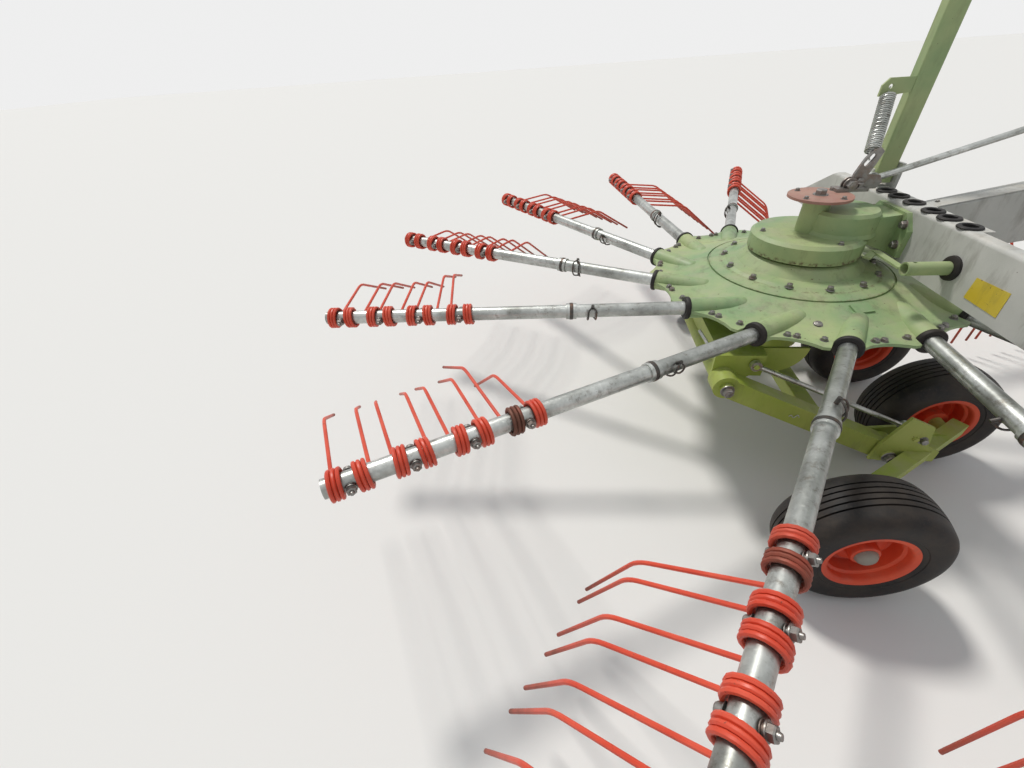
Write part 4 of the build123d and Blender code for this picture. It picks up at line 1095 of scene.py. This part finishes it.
# %% Small fittings
ROD = ((-0.385, -0.315, 0.590), (-0.365, -0.335, 0.565), (-0.318, -0.392, 0.500), (-0.302, -0.408, 0.474))
SPLINES = 6
SPLINE_RADIUS = 0.0172
SPLINE_HEIGHT = 0.820
SPLINE_POINTS = (1.935, 1.965, 1.998)
PLATE_X = 0.2498
PLATE_CORNERS = ((-0.398, 0.799), (-0.503, 0.804), (-0.506, 0.740), (-0.395, 0.742))
SIGN_THICKNESS = 0.0012
LEVER = ((0.132, -0.142, 0.750), (0.170, -0.110, 0.760), (0.179, -0.235, 0.755))
SHAFT = ((-0.312, -0.40, 0.465), (-0.312, 0.0, 0.465), (-0.312, 0.40, 0.465))
rod = wire([at(*point) for point in ROD], 0.010, "galvanised", sides=12)
piece("carriage_rod", rod, "galvanised", "chassis")
teeth = []
for number in range(SPLINES):
    angle = math.tau * number / SPLINES
    y, z = SPLINE_RADIUS * math.cos(angle), SPLINE_HEIGHT + SPLINE_RADIUS * math.sin(angle)
    teeth.append(wire([at(x, y, z) for x in SPLINE_POINTS], 0.0075, "bare_steel"))
piece("drive_splines", teeth, "bare_steel", "chassis")
sign = [at(PLATE_X, y, z) for y, z in PLATE_CORNERS]
piece("blank_plate", plate(sign, SIGN_THICKNESS, BACK), "plate_yellow", "chassis")
lever = flat_bar([at(*point) for point in LEVER], 0.022, 0.006)
piece("bent_lever", lever, "head_green", "chassis")
shaft = wire([at(*point) for point in SHAFT], 0.013, "galvanised", sides=16)
clip_path = [at(-0.095 + 0.004 * i, -0.463, 0.357 + 0.006 * math.sin(i * 1.25)) for i in range(9)]
clip = wire(clip_path, 0.003, "galvanised", sides=6)
piece("pivot_shaft", [shaft, clip], "galvanised", "chassis")

# %% [markdown]
# ## Plug and pad of the head
# The casting carries a round oil plug and a small raised pad. The photograph gives their places in
# plan only, so a ray is dropped on the solid's own mesh, and its hit gives height and slope.

# %% Plug and pad
PLUGS = ((-0.074, -0.377), (0.225, 0.312))
PAD = (0.068, -0.316)
PAD_LONG_HALF = 0.030
PAD_SHORT_HALF = 0.018
PAD_THICKNESS = 0.007
PAD_SUNK = 0.002
CORNERS = ((-1, -1), (1, -1), (1, 1), (-1, 1))
casting = nodes["rotor_head"].data
faces = [tuple(face.vertices) for face in casting.polygons]
surface = BVHTree.FromPolygons([vertex.co for vertex in casting.vertices], faces)


def on_head(x, y):
    """The point of the head's top under a place in plan, and the way it faces."""
    found = surface.ray_cast(at(x, y, 1.0), Vector((0, 0, -1)))
    return found[0], found[1]


plugs = hardware([on_head(*plug) for plug in PLUGS], 0.022, 0.004, washer=1.2, end=0.45, sides=20)
piece("head_plugs", plugs, "bare_steel", "rotor")
middle, normal = on_head(*PAD)
beside = normal.cross(Vector((0.97, 0.23, 0.0)).normalized()).normalized()
along = beside.cross(normal)
foot = middle - normal * PAD_SUNK
pad = [foot + along * PAD_LONG_HALF * a + beside * PAD_SHORT_HALF * b for a, b in CORNERS]
piece("head_pad", plate(pad, PAD_THICKNESS, normal), "shaded_casting_green", "rotor", "head_green")

# %% [markdown]
# ## Floor
# The machine stands on a pale floor that reaches the horizon, because a small floor's edge would show behind it in
# a wide lens. The floor rides on no body, so it is not a piece.

# %% Floor
FLOOR_TONE = (0.76, 0.75, 0.73)
FLOOR_HALF = 60.0
floor_mesh = bpy.data.meshes.new("floor")
floor_mesh.from_pydata([(FLOOR_HALF * a, FLOOR_HALF * b, 0) for a, b in CORNERS], [], [(0, 1, 2, 3)])
floor_mesh.materials.append(Finish("studio floor").finish(FLOOR_TONE, 0.9))
floor = new_object("floor", floor_mesh)
print("floor:", 2 * FLOOR_HALF, "m wide")

# %% [markdown]
# ## Light
# One soft lamp stands behind the machine, and the sky is brighter overhead. The camera and the
# mirroring metal see another sky with a darker band, because zinc only looks like metal when it
# mirrors light and dark. The light path tells the two kinds of rays apart, so that the bands don't
# change how brightly the floor and the paint are lit.

# %% Light
SKY_TINT = (0.90, 0.95, 1.0, 1)
SKY_RISE = {"From Min": -0.1, "From Max": 1.0, "To Min": 0.20, "To Max": 0.66}
# Place from straight down to straight up, and the grey there
SKY_BANDS = ((0.0, 0.86), (0.62, 0.86), (0.75, 0.58), (0.88, 1.0), (1.0, 1.0))
world = bpy.data.worlds.new("studio")
world.use_nodes = True
sky = world.node_tree
direction = add(sky, "ShaderNodeTexCoord").outputs["Generated"]
upward = add(sky, "ShaderNodeSeparateXYZ", {0: direction}).outputs["Z"]
strength = add(sky, "ShaderNodeMapRange", {"Value": upward, **SKY_RISE}).outputs[0]
lighting = sky.nodes["Background"]
lighting.inputs["Color"].default_value = SKY_TINT
sky.links.new(strength, lighting.inputs["Strength"])
height = add(sky, "ShaderNodeMapRange", {"Value": upward, "From Min": -1.0}).outputs[0]
bands = add(sky, "ShaderNodeValToRGB", {0: height})
for position, level in SKY_BANDS[1:-1]:
    bands.color_ramp.elements.new(position)
for element, (position, level) in zip(bands.color_ramp.elements, SKY_BANDS):
    element.position = position
    element.color = (level, level, level, 1)
seen = add(sky, "ShaderNodeBackground", {"Color": bands.outputs[0]})
path = add(sky, "ShaderNodeLightPath").outputs
either = total(sky, path["Is Camera Ray"], path["Is Glossy Ray"], "MAXIMUM")
either = total(sky, either, path["Is Transmission Ray"], "MAXIMUM")
choose = add(sky, "ShaderNodeMixShader", {0: either, 1: lighting.outputs[0], 2: seen.outputs[0]})
sky.links.new(choose.outputs[0], sky.nodes["World Output"].inputs["Surface"])
bpy.context.scene.world = world

LAMP_WAY = Vector((0.40, -0.50, -1.05))
lamp = bpy.data.lights.new("window", "SUN")
lamp.energy = 2.2
lamp.angle = math.radians(9)
lamp.color = (1.0, 0.97, 0.92)
new_object("window", lamp).rotation_euler = LAMP_WAY.to_track_quat("-Z", "Y").to_euler()
print("sky bands:", len(SKY_BANDS), "lamp strength:", lamp.energy)

# %% [markdown]
# ## Camera
# The camera stands where the picture was taken, close above the right rear arms, with a wide lens.
# Its place and lens were solved from the arms' sleeves, joints and ends in the picture.

# %% Camera
CAMERA_PLACE = at(-0.821, -1.562, 1.330)
CAMERA_RIGHT = Vector((0.9927, 0.1052, -0.0597))
CAMERA_UP = Vector((-0.0177, 0.6148, 0.7885))
CAMERA_LENS = 14.88
camera = new_object("camera", bpy.data.cameras.new("camera"))
right = CAMERA_RIGHT.normalized()
up = (CAMERA_UP - right * CAMERA_UP.dot(right)).normalized()
turn = Matrix((right, up, right.cross(up))).transposed()
camera.matrix_world = Matrix.Translation(CAMERA_PLACE) @ turn.to_4x4()
camera.data.lens = CAMERA_LENS
camera.data.sensor_width = 36.0
camera.data.clip_start = 0.02
camera.data.clip_end = 300.0
bpy.context.scene.camera = camera
bpy.context.scene.view_settings.view_transform = "Standard"
print("camera at", [round(value, 3) for value in CAMERA_PLACE])
